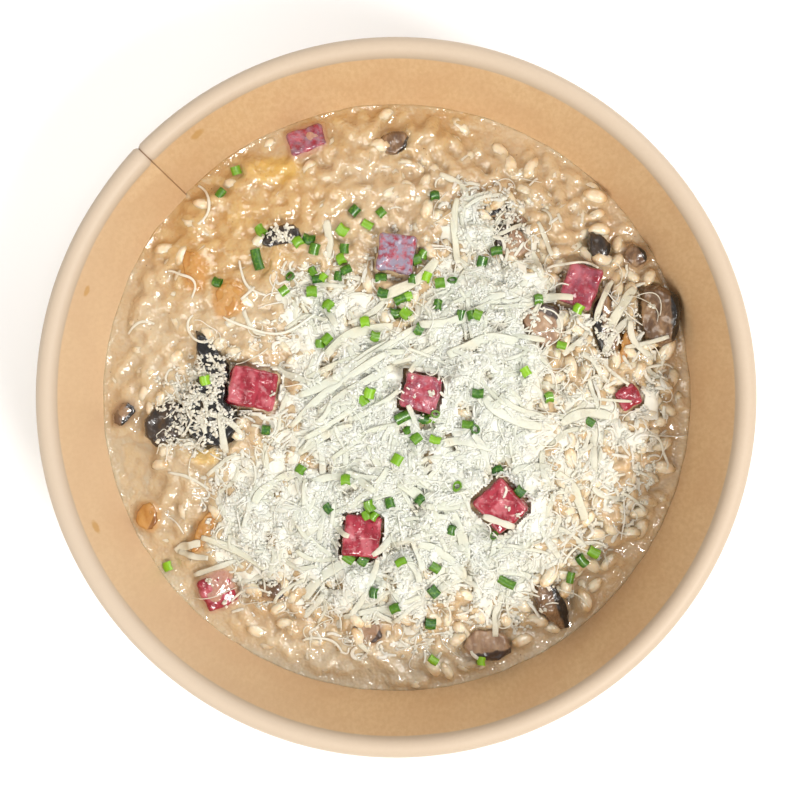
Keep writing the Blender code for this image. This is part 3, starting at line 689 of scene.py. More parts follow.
def cooked_rice():
    """Plump grains with an opaque heart, clearer towards their ends, under a wet film."""
    rice = Finish("cooked_rice")
    tone = rice.tone("tone")
    cloudy = rice.noise(2.2 * MM, detail=3)
    colour = rice.mix(tone, rgb(198, 166, 122), rgb(214, 190, 154))
    heart = 1 - rice.band(rice.tone("end") + (cloudy - 0.5) * 0.6, 0.3, 0.85)
    colour = rice.mix(heart * 0.75, colour, rgb(236, 223, 198))
    specks = rice.band(rice.noise(0.8 * MM, detail=1), 0.78, 0.81)
    colour = rice.mix(specks * 0.7, colour, rgb(96, 64, 42))
    film = rice.bump(rice.noise(1.2 * MM, detail=1), 0.4 * MM, 0.9)
    return rice.done(
        Base_Color=colour, Roughness=0.07 + cloudy * 0.08, Normal=film, Subsurface_Weight=0.7, **WET_FILM,
    )


def grated_cheese():
    """Pale, faintly green-white cheese, matte with a soft inner glow."""
    cheese = Finish("grated_cheese")
    tone = cheese.tone("tone")
    cloudy = cheese.noise(1.2 * MM, detail=3)
    colour = cheese.mix(tone, rgb(198, 201, 182), rgb(229, 230, 222))
    colour = cheese.mix(cloudy * 0.25, colour, rgb(224, 220, 204))
    colour = cheese.mix(cheese.tone("through") * 0.35, colour, rgb(220, 198, 164))
    grain = cheese.bump(cheese.noise(0.6 * MM, detail=4), 0.12 * MM, 0.7)
    return cheese.done(
        Base_Color=colour, Roughness=0.45 + cloudy * 0.12, Normal=grain, Subsurface_Weight=0.4,
        Subsurface_Radius=(1.0, 0.92, 0.8), Subsurface_Scale=0.5 * MM, IOR=1.42,
    )


def cured_ham():
    """Deep red lean with paler marbling, and a silvery sheen painted into the colour where the cut face is
    moist.
    """
    ham = Finish("cured_ham")
    grain = ham.noise(1.5 * MM, detail=5, stretch=(1, 0.5, 1), distortion=0.7)
    patches = ham.noise(4.2 * MM, detail=3)
    colour = ham.mix(ham.band(grain, 0.34, 0.66), rgb(126, 20, 36), rgb(160, 46, 62))
    colour = ham.mix(ham.band(patches, 0.48, 0.62) * 0.6, colour, rgb(198, 112, 120))
    fat = ham.band(ham.noise(2.4 * MM, detail=4, stretch=(0.5, 1.4, 1), distortion=1.2), 0.64, 0.72)
    colour = ham.mix(fat * 0.6, colour, rgb(226, 186, 180))
    # Painted sheen: a silvery reflection is painted into the colour of the moist cut faces.
    painted_sheen_mask = ham.band(ham.noise(1.3 * MM, detail=4), 0.3, 0.75) * ham.tone("painted_sheen")
    colour = ham.mix(painted_sheen_mask * 0.85, colour, rgb(142, 132, 150))
    wet = ham.bump(ham.noise(1.2 * MM, detail=1), 0.2 * MM, 0.8)
    wet = ham.bump(ham.bubbles(0.9 * MM, 0.35), 0.16 * MM, 0.9, wet)
    return ham.done(
        Base_Color=colour, Roughness=0.1 + grain * 0.15, Normal=wet, Subsurface_Weight=0.15,
        Subsurface_Radius=(1.0, 0.3, 0.28), Subsurface_Scale=1.0 * MM, Coat_Weight=0.4,
        Coat_Roughness=0.12,
    )


def cooked_mushroom(kind, flesh, shade, skin, rough):
    """Mushroom flesh that darkens in patches, with its skin along one side."""
    mushroom = Finish(kind + "_mushroom_finish")
    flesh, shade, skin = rgb(*flesh), rgb(*shade), rgb(*skin)
    fibres = mushroom.noise(1.8 * MM, detail=4, stretch=(1, 0.4, 1), distortion=0.4)
    patches = mushroom.noise(4 * MM, detail=3)
    colour = mushroom.mix(mushroom.band(fibres, 0.3, 0.7), shade, flesh)
    colour = mushroom.mix(mushroom.band(patches, 0.45, 0.7) * 0.5, colour, shade)
    covered = mushroom.band(mushroom.tone("skin") + (fibres - 0.5) * 0.25, 0, 0.07)
    colour = mushroom.mix(covered, colour, skin)
    wet = mushroom.bump(mushroom.noise(1.6 * MM, detail=3), 0.22 * MM, 0.7)
    return mushroom.done(
        Base_Color=colour, Roughness=rough + fibres * 0.15, Normal=wet, Subsurface_Weight=0.1,
        Subsurface_Radius=(1.0, 0.5, 0.3), Subsurface_Scale=0.8 * MM, Coat_Weight=0.6,
        Coat_Roughness=0.1,
    )


def chive_green():
    chive = Finish("chive_green")
    tone = chive.tone("tone")
    streaks = chive.noise(0.6 * MM, detail=3)
    colour = chive.mix(tone, rgb(26, 84, 6), rgb(132, 184, 14))
    colour = chive.mix(chive.band(streaks, 0.45, 0.7) * 0.3, colour, rgb(146, 188, 60))
    return chive.done(
        Base_Color=colour, Roughness=0.3 + streaks * 0.15, Subsurface_Weight=0.15,
        Subsurface_Radius=(0.5, 1.0, 0.3), Subsurface_Scale=0.6 * MM, Coat_Weight=0.3,
        Coat_Roughness=0.15,
    )


# Paper bowl


def wall_section():
    """Radius and height: up the inside, round the roll, down the outside and up the fold in the foot."""
    slot = BOARD + 2 * GAP
    neck = ROLL_CENTRE[1] - ROLL_RADIUS
    section = []
    for i in range(WALL_LEVELS + 1):
        height = BOARD + (neck - BOARD) * i / WALL_LEVELS
        section.append((outer_wall(height) - BOARD, height))
    turns = [math.radians(180 - ROLL_TURN * i / ROLL_STEPS) for i in range(ROLL_STEPS + 1)]
    for radius, order in ((ROLL_RADIUS, turns), (ROLL_RADIUS - BOARD, turns[::-1])):
        section += [(ROLL_CENTRE[0] + radius * math.cos(t), ROLL_CENTRE[1] + radius * math.sin(t))
                    for t in order]
    for i in range(WALL_LEVELS // 2 + 1):
        height = neck * (1 - i / (WALL_LEVELS // 2))
        section.append((outer_wall(height), height))
    section.append((outer_wall(0) - slot - 2 * BOARD, 0))
    section.append((outer_wall(FOLD_HEIGHT) - slot - 2 * BOARD, FOLD_HEIGHT))
    section.append((outer_wall(FOLD_HEIGHT) - slot - BOARD, FOLD_HEIGHT))
    section.append((outer_wall(BOARD) - slot - BOARD, BOARD))
    return section


def make_wall(finish):
    """The section is drawn out point by point, spun round, and stepped along the seam."""
    section = wall_section()
    deselect()
    bpy.ops.mesh.primitive_plane_add(size=MM, location=(section[0][0], 0, section[0][1]))
    piece = bpy.context.object
    bpy.ops.object.mode_set(mode="EDIT")
    bpy.ops.mesh.select_all(action="SELECT")
    bpy.ops.mesh.merge(type="CENTER")
    for (r0, z0), (r1, z1) in zip(section, section[1:]):
        bpy.ops.mesh.extrude_region_move(TRANSFORM_OT_translate={"value": (r1 - r0, 0, z1 - z0)})
    bpy.ops.mesh.select_all(action="SELECT")
    bpy.ops.mesh.spin(steps=WALL_COLUMNS, angle=math.tau, center=(0, 0, 0), axis=(0, 0, 1))
    bpy.ops.mesh.select_all(action="SELECT")
    bpy.ops.mesh.remove_doubles(threshold=0.01 * MM)
    bpy.ops.object.mode_set(mode="OBJECT")
    bpy.ops.object.transform_apply(location=True, rotation=True, scale=True)
    close_foot()
    points = points_of(piece.data)
    radius = np.hypot(points[:, 0], points[:, 1])
    angle = np.degrees(np.arctan2(points[:, 1], points[:, 0])) - SEAM_ANGLE
    angle = (angle + 180) % 360 - 180
    near = np.abs(angle) < SEAM_SPAN
    half_turn = math.pi / SEAM_SPAN
    angle = np.where(near, angle - SEAM_SQUEEZE * np.sin(angle * half_turn) / half_turn, angle)
    arc = np.radians(angle) * radius
    inside = (radius < outer_wall(points[:, 2]) - 0.5 * BOARD) & (points[:, 2] < ROLL_CENTRE[1] - ROLL_RADIUS)
    inside &= radius > outer_wall(points[:, 2]) - 1.5 * BOARD
    step = np.clip(arc / (0.2 * MM) + 0.5, 0, 1) * np.clip((SEAM_EASE - angle) / (SEAM_EASE * 0.4), 0, 1)
    radius = radius - np.where(inside, SEAM_STEP * step, 0)
    from_roll = np.stack([radius - ROLL_CENTRE[0], points[:, 2] - ROLL_CENTRE[1]], axis=1)
    spread = np.hypot(from_roll[:, 0], from_roll[:, 1])
    on_roll = spread < ROLL_RADIUS * 1.2
    notch = -NOTCH_DEPTH * np.exp(-((arc / NOTCH_WIDTH) ** 2))
    levelled = np.clip((SEAM_EASE - angle) / SEAM_EASE, 0, 1)
    notch += ROLL_STEP * np.clip(arc / (0.3 * MM), 0, 1) * levelled
    push = np.where(on_roll & (spread > ROLL_RADIUS - 0.5 * BOARD), notch, 0) / np.maximum(spread, MM)
    radius = radius + from_roll[:, 0] * push
    height = points[:, 2] + from_roll[:, 1] * push
    turned = np.radians(angle + SEAM_ANGLE)
    move_points(piece.data, np.stack([radius * np.cos(turned), radius * np.sin(turned), height], axis=1))
    recalculate()
    keep("paper_wall", finish, ("bowl_wall",))
    bpy.ops.object.shade_smooth_by_angle(angle=math.radians(40))


def close_foot():
    """Joins the section's two open ends, which lie at the bottom of the fold."""
    bpy.ops.object.mode_set(mode="EDIT")
    bpy.ops.mesh.select_all(action="DESELECT")
    bpy.ops.mesh.select_mode(type="EDGE")
    bpy.ops.mesh.select_non_manifold()
    bpy.ops.mesh.bridge_edge_loops()
    bpy.ops.object.mode_set(mode="OBJECT")


def recalculate():
    """Turns the active piece's faces outward."""
    bpy.ops.object.mode_set(mode="EDIT")
    bpy.ops.mesh.select_all(action="SELECT")
    bpy.ops.mesh.normals_make_consistent(inside=False)
    bpy.ops.object.mode_set(mode="OBJECT")


# Rice and sauce


def heap_heights(relief):
    """The bare heap's top, as in the source."""
    share = np.minimum(relief.radius / rice_edge(relief.angle), 1)
    mound = MOUND_RISE * np.exp(
        -(((relief.x - MOUND_CENTRE[0]) / MOUND_SPREAD[0]) ** 2)
        - ((relief.y - MOUND_CENTRE[1]) / MOUND_SPREAD[1]) ** 2
    )
    lumps = LUMP_RISE * relief.bumps(LUMP_SIZE, 0)
    return SAUCE_LEVEL + EDGE_RISE * (1 - share**6) + (mound + lumps) * (1 - share**4)


def grain_shapes():
    """Grains modelled once, with different bends, tapers and dents, lying along X."""
    shapes = []
    for k, (bend, taper) in enumerate(GRAIN_KINDS):
        deselect()
        bpy.ops.mesh.primitive_uv_sphere_add(segments=8, ring_count=7, radius=0.5)
        piece = bpy.context.object
        points = points_of(piece.data)[:, [2, 1, 0]]
        along = np.clip(np.abs(points[:, 0] * 2), 0, 1)
        blunt = (1 - along**2.3) ** 0.5 / np.maximum(np.sqrt(1 - along**2), 0.05)
        points[:, 1:] *= np.where(along < 0.999, blunt, 1)[:, None]
        dents = [noise.noise(Vector(p) * 2.6 + Vector((k * 7.3, 0, 0))) for p in points]
        points *= 1 + 0.09 * np.array(dents)[:, None]
        points[:, 1] += bend * (1 - 4 * points[:, 0] ** 2)
        points[:, 1:] *= (1 + taper * 2 * points[:, 0])[:, None]
        faces = [list(face.vertices)[::-1] for face in piece.data.polygons]
        shapes.append((points * (GRAIN_LENGTH, GRAIN_WIDTH, GRAIN_HEIGHT), faces, along))
        bpy.data.objects.remove(piece)
    return shapes


def drop_grains(relief, covered):
    """Lets grains fall on the relief. Each rests on what lies under it and leans with it."""
    draw = random.Random(3)
    along, across = np.meshgrid(np.linspace(-0.96, 0.96, 23), np.linspace(-0.94, 0.94, 13), indexing="ij")
    inside = along**2 + across**2 < 0.97
    along, across = along[inside], across[inside]
    bulge = np.sqrt(1 - np.clip(along**2 + across**2, 0, 0.98)) * GRAIN_HEIGHT / 2
    places = []
    for layer, (count, start, reach) in enumerate(GRAIN_LAYERS):
        for k in range(count):
            angle = k * GOLDEN_ANGLE + start
            radius = reach * MM * math.sqrt((k + 0.5) / count) + draw.uniform(-1, 1) * 0.9 * MM
            stray = GRAIN_STRAY_RIGHT if math.cos(angle + 0.3) > 0.4 else GRAIN_STRAY_OUT
            edge = float(rice_edge(np.array(angle))) + draw.uniform(-GRAIN_STRAY_IN, stray) * MM
            x, y = radius * math.cos(angle), radius * math.sin(angle)
            size = draw.uniform(*GRAIN_SIZES)
            turn = draw.uniform(0, math.tau)
            roll = draw.uniform(-GRAIN_ROLL, GRAIN_ROLL)
            shape = draw.randrange(len(GRAIN_KINDS))
            tone = draw.random()
            lift = draw.uniform(*GRAIN_LIFTS)
            if layer and radius > edge:
                continue
            u, v = along * GRAIN_LENGTH / 2 * size, across * GRAIN_WIDTH / 2 * size
            px = x + u * math.cos(turn) - v * math.sin(turn)
            py = y + u * math.sin(turn) + v * math.cos(turn)
            if np.hypot(px, py).max() > outer_wall(SAUCE_LEVEL) - 2 * BOARD:
                continue
            if relief.at(px, py, covered).mean() > GRAIN_OVERLAP:
                continue
            under = relief.at(px, py)
            slope = float(np.clip((under * u).sum() / (u * u).sum(), -0.5, 0.5))
            centre = float(np.quantile(under - slope * u + bulge * size * lift, 0.6))
            relief.raise_to(px, py, centre + slope * u + bulge * size)
            places.append((x, y, centre, turn, math.atan(slope), roll, size, shape, tone))
    return places


def scatter(name, shapes, places):
    """One piece of many copies: each place is x, y, z, turn, pitch, roll, size, shape and tone."""
    points, faces, tones, ends = [], [], [], []
    start = 0
    for x, y, z, turn, pitch, roll, size, shape, tone in places:
        base, outline, along = shapes[shape]
        matrix = np.array(Euler((roll, -pitch, turn), "XYZ").to_matrix())
        points.append(base * size @ matrix.T + (x, y, z))
        faces += [[start + i for i in face] for face in outline]
        tones.append(np.full(len(base), tone))
        ends.append(along)
        start += len(base)
    piece = new_piece(name, np.concatenate(points), faces)
    add_tone(piece, "tone", np.concatenate(tones))
    add_tone(piece, "end", np.concatenate(ends))
    return piece


def sauce_heights(relief, wet):
    """Sauce sinks between the grains where it is dry, and lies over them as a film where it is wet."""
    grains = blurred(relief.height, 0.3 * MM)
    level = blurred(relief.height, 1.8 * MM)
    soft = level + 0.45 * (blurred(relief.height, 0.6 * MM) - level)
    soft += 0.5 * MM * relief.bumps(2.6 * MM, 41)
    sink = SAUCE_SINK_WET * wet + SAUCE_SINK_DRY * (1 - wet)
    filling = blurred(relief.height, SAUCE_BLUR) - sink
    coat = soft * wet + grains * (1 - wet)
    bare = SAUCE_BARE + 0.9 * MM * relief.bumps(6 * MM, 33)
    film = coat + SAUCE_FILM * wet - bare * (1 - wet)
    surface = soft_max(filling, film, 0.12 * MM)
    to_wall = outer_wall(SAUCE_LEVEL) - BOARD - relief.radius
    uneven = relief.bumps(6 * MM, 21)
    meniscus = MENISCUS_RISE * (0.55 + uneven) * np.exp(-np.maximum(to_wall, 0) / (MENISCUS_WIDTH * 0.45))
    pool = SAUCE_LEVEL - 0.25 * MM + meniscus + 0.22 * MM * relief.bumps(5 * MM, 8)
    pool += 0.1 * MM * relief.bumps(1.7 * MM, 9)
    surface = soft_max(surface, pool, 0.15 * MM)
    return surface, (surface - grains) / MM


def make_sauce(relief, surface, cover, stains, finish):
    """A square grid pulled into a disc, laid on the sauce's heights and closed below."""
    deselect()
    bpy.ops.mesh.primitive_grid_add(x_subdivisions=SURFACE_CUTS, y_subdivisions=SURFACE_CUTS, size=2)
    piece = bpy.context.object
    flat = points_of(piece.data)
    a, b = flat[:, 0], flat[:, 1]
    wide = np.abs(a) >= np.abs(b)
    safe_a, safe_b = np.where(a == 0, 1, a), np.where(b == 0, 1, b)
    radius = np.where(wide, a, b)
    angle = np.where(wide, math.pi / 4 * b / safe_a, math.pi / 2 - math.pi / 4 * a / safe_b)
    brim = outer_wall(SAUCE_LEVEL + MENISCUS_RISE) - BOARD * 0.85
    x, y = radius * np.cos(angle) * brim, radius * np.sin(angle) * brim
    z = relief.at(x, y, surface)
    move_points(piece.data, np.stack([x, y, z], axis=1))
    add_tone(piece, "cover", np.clip(relief.at(x, y, cover), 0, 4))
    for name, field in stains.items():
        add_tone(piece, name, relief.at(x, y, field))
    for name, table in (("golden", WET_PLACES[1:3]), ("butter", BUTTER_PLACES),
                        ("milky", MILKY_PLACES)):
        add_tone(piece, name, relief.at(x, y, places_field(relief, table)))
    bpy.ops.object.mode_set(mode="EDIT")
    bpy.ops.mesh.select_all(action="DESELECT")
    bpy.ops.mesh.select_mode(type="EDGE")
    bpy.ops.mesh.select_non_manifold()
    bpy.ops.mesh.extrude_region_move(TRANSFORM_OT_translate={"value": (0, 0, -MM)})
    bpy.ops.mesh.edge_face_add()
    bpy.ops.object.mode_set(mode="OBJECT")
    points = points_of(piece.data)
    skirt = slice(len(flat), None)
    foot = (outer_wall(HEAP_FLOOR) - BOARD * 1.2) / brim
    points[skirt] = np.column_stack([points[skirt, 0] * foot, points[skirt, 1] * foot,
                                     np.full(len(points) - len(flat), HEAP_FLOOR)])
    move_points(piece.data, points)
    recalculate()
    piece.data.shade_smooth()
    keep("sauce_pool", finish, ("sauce",))


# Ham and mushrooms


def dressed(node, voxel, smoothing, bump_height, bump_size, seed):
    """A finer copy of a CAD piece: its faces are merged, remeshed and roughened."""
    deselect()
    source = bpy.data.objects[node]
    piece = source.copy()
    piece.data = source.data.copy()
    piece.animation_data_clear()
    bpy.context.scene.collection.objects.link(piece)
    piece.parent = None
    piece.select_set(True)
    bpy.context.view_layer.objects.active = piece
    bpy.ops.object.mode_set(mode="EDIT")
    bpy.ops.mesh.select_all(action="SELECT")
    bpy.ops.mesh.remove_doubles(threshold=0.005 * MM)
    bpy.ops.object.mode_set(mode="OBJECT")
    apply_modifier(piece, "REMESH", mode="VOXEL", voxel_size=voxel, use_smooth_shade=True)
    apply_modifier(piece, "SMOOTH", factor=0.5, iterations=smoothing)
    points = points_of(piece.data)
    normals = np.empty(len(points) * 3)
    piece.data.vertices.foreach_get("normal", normals)
    normals = normals.reshape(-1, 3)
    push = np.array([noise.noise(Vector(p) / bump_size + Vector((seed, 0, 0)))
                     + 0.5 * noise.noise(Vector(p) / bump_size * 2.3 + Vector((0, seed, 0)))
                     for p in points])
    points += normals * (push * bump_height)[:, None]
    move_points(piece.data, points)
    return piece, points


def make_ham(relief, tops, finish):
    """The dice. The height of each one's top over the relief is noted, and the highest is returned."""
    for k, node in enumerate(HAM_NODES):
        piece, points = dressed(node, HAM_VOXEL, 1, *HAM_BUMPS, k * 3.1)
        # The strength of the sheen painted into this cube's colour.
        add_tone(piece, "painted_sheen", np.full(len(points), HAM_PAINTED_SHEEN.get(node, 0.0)))
        tops[node] = footprint(relief, points)
        keep("diced_" + node, finish, (node,))
    return np.maximum.reduce([tops[node] for node in HAM_NODES])


def make_mushrooms(relief, tops, finishes):
    """The mushroom pieces, with their skin along one side."""
    for kind, nodes in MUSHROOM_NODES.items():
        for k, node in enumerate(nodes):
            bumps = BLACK_MUSHROOM_BUMPS if kind == "black" else MUSHROOM_BUMPS
            piece, points = dressed(node, MUSHROOM_VOXEL, 2, *bumps, k * 5.3)
            middle = (points.max(axis=0) + points.min(axis=0)) / 2
            spread = (points.max(axis=0) - points.min(axis=0)) / 2
            out = (points - middle) / spread
            side, share = SKIN_SIDES.get(node, PLAIN_SKIN)
            facing = out[:, 0] * math.cos(math.radians(side)) + out[:, 1] * math.sin(math.radians(side))
            add_tone(piece, "skin", np.clip((facing + 1) / 2 - share, -1, 1))
            tops[node] = footprint(relief, points)
            keep("cooked_" + node, finishes[kind], (node,))
    return np.maximum.reduce([tops[node] for node in sum(MUSHROOM_NODES.values(), ())])


# Cheese


def add_through(piece, relief, density):
    """How much of the rice shows through thin cheese: more of it where the cheese lies thin."""
    points = points_of(piece.data)
    add_tone(piece, "through", np.clip(1 - 1.6 * relief.at(points[:, 0], points[:, 1], density), 0, 1))


def cheese_density(relief, ham_tops, mushroom_tops):
    """How thick grated cheese lies, from 0 to 1. Little of it lies on the ham and the mushrooms."""
    density = places_field(relief, CHEESE_DRIFTS)
    uneven = relief.bumps(7 * MM, 2) + 0.6 * relief.bumps(2.8 * MM, 3)
    density = np.clip(density + 0.36 * uneven * np.sqrt(density), 0, 1)
    holes = relief.bumps(4.5 * MM, 19)
    density *= 1 - 0.75 * np.clip((holes - 0.3) / 0.12, 0, 1)
    density = np.where(mushroom_tops > 0, density * CHEESE_KEPT["mushroom"], density)
    return np.where(ham_tops > 0, density * CHEESE_KEPT["ham"], density)


def make_cheese_bed(relief, density, finish):
    """A low crumbly bed under the shreds, which shows between them where they lie thick."""
    crumbly = 0.12 * relief.bumps(0.8 * MM, 5) + 0.4 * relief.bumps(2.2 * MM, 6)
    ground = blurred(relief.height, 0.8 * MM)
    bed = ground + CHEESE_BED_RISE * density**0.4 + MM * crumbly - CHEESE_BED_SINK
    deselect()
    cuts_x, cuts_y = CHEESE_BED_CUTS
    bpy.ops.mesh.primitive_grid_add(x_subdivisions=cuts_x, y_subdivisions=cuts_y, size=1)
    piece = bpy.context.object
    flat = points_of(piece.data)
    x = CHEESE_CENTRE[0] + flat[:, 0] * CHEESE_BED_SPAN[0] * MM
    y = CHEESE_CENTRE[1] + flat[:, 1] * CHEESE_BED_SPAN[1] * MM
    inside = np.hypot(x, y) < CHEESE_EDGE
    z = np.where(inside, relief.at(x, y, bed), HEAP_FLOOR + 20 * MM)
    move_points(piece.data, np.stack([x, y, z], axis=1))
    hidden = relief.at(x, y, bed) < relief.at(x, y) - 0.3 * MM
    # Edges and faces are deselected first, or the points that belong to them would be selected again
    bpy.ops.object.mode_set(mode="EDIT")
    bpy.ops.mesh.select_mode(type="VERT")
    bpy.ops.mesh.select_all(action="DESELECT")
    bpy.ops.object.mode_set(mode="OBJECT")
    piece.data.vertices.foreach_set("select", (hidden | ~inside).tolist())
    bpy.ops.object.mode_set(mode="EDIT")
    bpy.ops.mesh.delete(type="VERT")
    bpy.ops.mesh.select_all(action="SELECT")
    bpy.ops.mesh.extrude_region_move(TRANSFORM_OT_translate={"value": (0, 0, -CHEESE_BED_DEPTH)})
    recalculate()
    piece.data.shade_smooth()
    add_tone(piece, "tone", np.full(len(piece.data.vertices), CHEESE_BED_TONE))
    add_through(piece, relief, density)
    relief.height = np.maximum(relief.height, np.where(density > 0.05, bed, 0))
    keep("cheese_bed", finish, ("cheese",))


def drop_strip(relief, x, y, turn, length, width, thickness, bend, steps, draw, stiff, lean=0.6):
    """The points of one shred: it lies on the relief, curls through an angle and lifts at one end."""
    s = np.linspace(-0.5, 0.5, steps + 1)
    heading = turn + bend * (s[1:] + s[:-1]) / 2
    heading += abs(bend) * draw.uniform(-0.2, 0.2) * np.sin(9 * s[1:] + draw.uniform(0, 6))
    px = np.concatenate([[0], np.cumsum(np.cos(heading))]) * length / steps
    py = np.concatenate([[0], np.cumsum(np.sin(heading))]) * length / steps
    px += x - px.mean()
    py += y - py.mean()
    ground = np.maximum(relief.at(px, py), relief.at(px + 0.25 * MM, py + 0.25 * MM))
    for _ in range(stiff):
        wide = np.pad(ground, 1, mode="edge")
        ground = np.maximum(ground, (wide[:-2] + wide[2:]) / 2)
    rise = 0.12 if steps < 20 else 0.04
    curl = draw.uniform(0, 1) ** 3 * rise * length * (s * draw.choice((-1, 1)) + 0.5) ** 2
    pz = ground + thickness * draw.uniform(0.1, 0.9) + curl
    tangent = np.gradient(np.stack([px, py, pz], axis=1), axis=0)
    tangent /= np.linalg.norm(tangent, axis=1)[:, None]
    flat = np.stack([-tangent[:, 1], tangent[:, 0], np.zeros(steps + 1)], axis=1)
    flat /= np.linalg.norm(flat, axis=1)[:, None]
    up = np.cross(tangent, flat)
    roll = (draw.uniform(-1, 1) + 2.6 * s * draw.uniform(-1, 1)) * lean
    across = flat * np.cos(roll)[:, None] + up * np.sin(roll)[:, None]
    through = np.cross(tangent, across)
    uneven = 1 + 0.1 * np.sin(11 * s + draw.uniform(0, 6))
    narrow = (width / 2 * (1 - 4.5 * np.abs(s) ** 4) * uneven)[:, None]
    middle = np.stack([px, py, pz], axis=1)
    side, top = across * narrow, through * (thickness / 2)
    rows = [middle - side - top, middle + side - top * 0.6,
            middle + side * 0.8 + top, middle - side * 0.8 + top * 0.6]
    return np.stack(rows, axis=1)


def make_strips(name, strips, tones, relief, density, finish):
    points, faces, start = [], [], 0
    for strip in strips:
        count = len(strip)
        points.append(strip.reshape(-1, 3))
        for i in range(count - 1):
            low, high = start + 4 * i, start + 4 * (i + 1)
            faces += [[low + k, low + (k + 1) % 4, high + (k + 1) % 4, high + k] for k in range(4)]
        faces.append([start + 3, start + 2, start + 1, start])
        faces.append([start + 4 * (count - 1) + k for k in range(4)])
        start += 4 * count
    piece = new_piece(name, np.concatenate(points), faces)
    add_tone(piece, "tone", np.concatenate([np.full(4 * len(s), t) for s, t in zip(strips, tones)]))
    add_through(piece, relief, density)
    keep(name, finish)


def fallen_places(relief, density, count, seed, power):
    """Places drawn where the cheese lies, more of them where it lies thick."""
    draw = np.random.default_rng(seed)
    x, y = draw.uniform(-60, 64, count * 20) * MM, draw.uniform(-60, 50, count * 20) * MM
    taken = draw.random(len(x)) < relief.at(x, y, density) ** power
    taken &= np.hypot(x, y) < CHEESE_EDGE
    return list(zip(x[taken][:count].tolist(), y[taken][:count].tolist()))


def make_shreds(relief, density, ham_tops, finish):
    """Broad ribbons, then short curls and thin threads, all laid on the same relief."""
    draw = random.Random(17)
    for name, count, lengths, widths, thickness, steps, power, curled, lean, shades in SHREDS:
        strips, tones = [], []
        for x, y in fallen_places(relief, density, count, steps, power):
            bend = draw.choice((-1, 1)) * curled * draw.uniform(0.05, 1) ** 1.4
            strip = drop_strip(relief, x, y, draw.uniform(0, math.tau), draw.uniform(*lengths) * MM,
                               draw.uniform(*widths) * MM, thickness * MM, bend, steps, draw, 2, lean)
            if relief.at(strip[:, :, 0], strip[:, :, 1], ham_tops).max() > 0 and draw.random() < 0.85:
                continue
            strips.append(strip)
            tones.append(draw.uniform(*shades))
        make_strips(name, strips, tones, relief, density, finish)


def make_shavings(relief, density, finish):
    draw = random.Random(41)
    strips, tones = [], []
    for k, ((x0, y0), (x1, y1), bow) in enumerate(BROAD_SHAVINGS + THREAD_SHAVINGS):
        width = draw.uniform(*SHAVING_WIDTHS) if k < len(BROAD_SHAVINGS) else THREAD_WIDTH
        ax, ay = seen_at(x0, y0, TOPPING_HEIGHT)
        bx, by = seen_at(x1, y1, TOPPING_HEIGHT)
        length = math.hypot(bx - ax, by - ay)
        turn = math.atan2(by - ay, bx - ax)
        strips.append(drop_strip(relief, (ax + bx) / 2, (ay + by) / 2, turn, length,
                                 width * MM, 0.12 * MM, -8 * bow * MM / length, 20, draw, 8, 0.12))
        tones.append(draw.uniform(0, 0.25) if width > 1 else 0.6)
    make_strips("cheese_shavings", strips, tones, relief, density, finish)


def crumb_shapes():
    """Ragged flakes modelled once: each is a few small lumps that hold together."""
    draw = random.Random(5)
    shapes = []
    for _ in range(CRUMB_KINDS):
        points, faces = [], []
        for lump in range(CRUMB_LUMPS):
            deselect()
            bpy.ops.mesh.primitive_cube_add(size=CRUMB_SIZE)
            piece = bpy.context.object
            stretch = (draw.uniform(0.9, 2.1), draw.uniform(0.6, 1.2), draw.uniform(0.3, 0.5))
            bit = points_of(piece.data) * stretch
            turn = Euler([draw.uniform(-0.4, 0.4), draw.uniform(-0.4, 0.4), draw.uniform(0, 6)])
            faces += [[len(bit) * lump + i for i in f.vertices] for f in piece.data.polygons]
            offset = np.array([draw.gauss(0, 0.46), draw.gauss(0, 0.34), draw.uniform(0, 0.2)]) * MM
            points.append(bit @ np.array(turn.to_matrix()).T + offset)
            bpy.data.objects.remove(piece)
        shapes.append((np.concatenate(points), faces, np.zeros(8 * len(points))))
    return shapes


def make_crumbs(relief, density, ham_tops, finish):
    draw = random.Random(29)
    heaped = np.clip(0.45 + 1.6 * relief.bumps(3.4 * MM, 23), 0.04, 1)
    places = []
    heaped = np.maximum(density**1.1 * heaped, 0.8 * places_field(relief, CRUMB_PLACES))
    near_ham = blurred((ham_tops > 0).astype(float), 0.5 * MM) > 0.2
    for x, y in fallen_places(relief, np.where(near_ham, 0.01, heaped), CRUMBS, 29, 1.0):
        z = float(relief.at(x, y)) + draw.uniform(-0.25, 0.15) * MM
        places.append((x, y, z, draw.uniform(0, math.tau), draw.uniform(-0.3, 0.3), draw.uniform(-0.3, 0.3),
                       draw.uniform(0.5, 1.4), draw.randrange(CRUMB_KINDS), draw.uniform(0.6, 1)))
    add_through(scatter("cheese_crumbs", crumb_shapes(), places), relief, density)
    keep("cheese_crumbs", finish)


# Chives


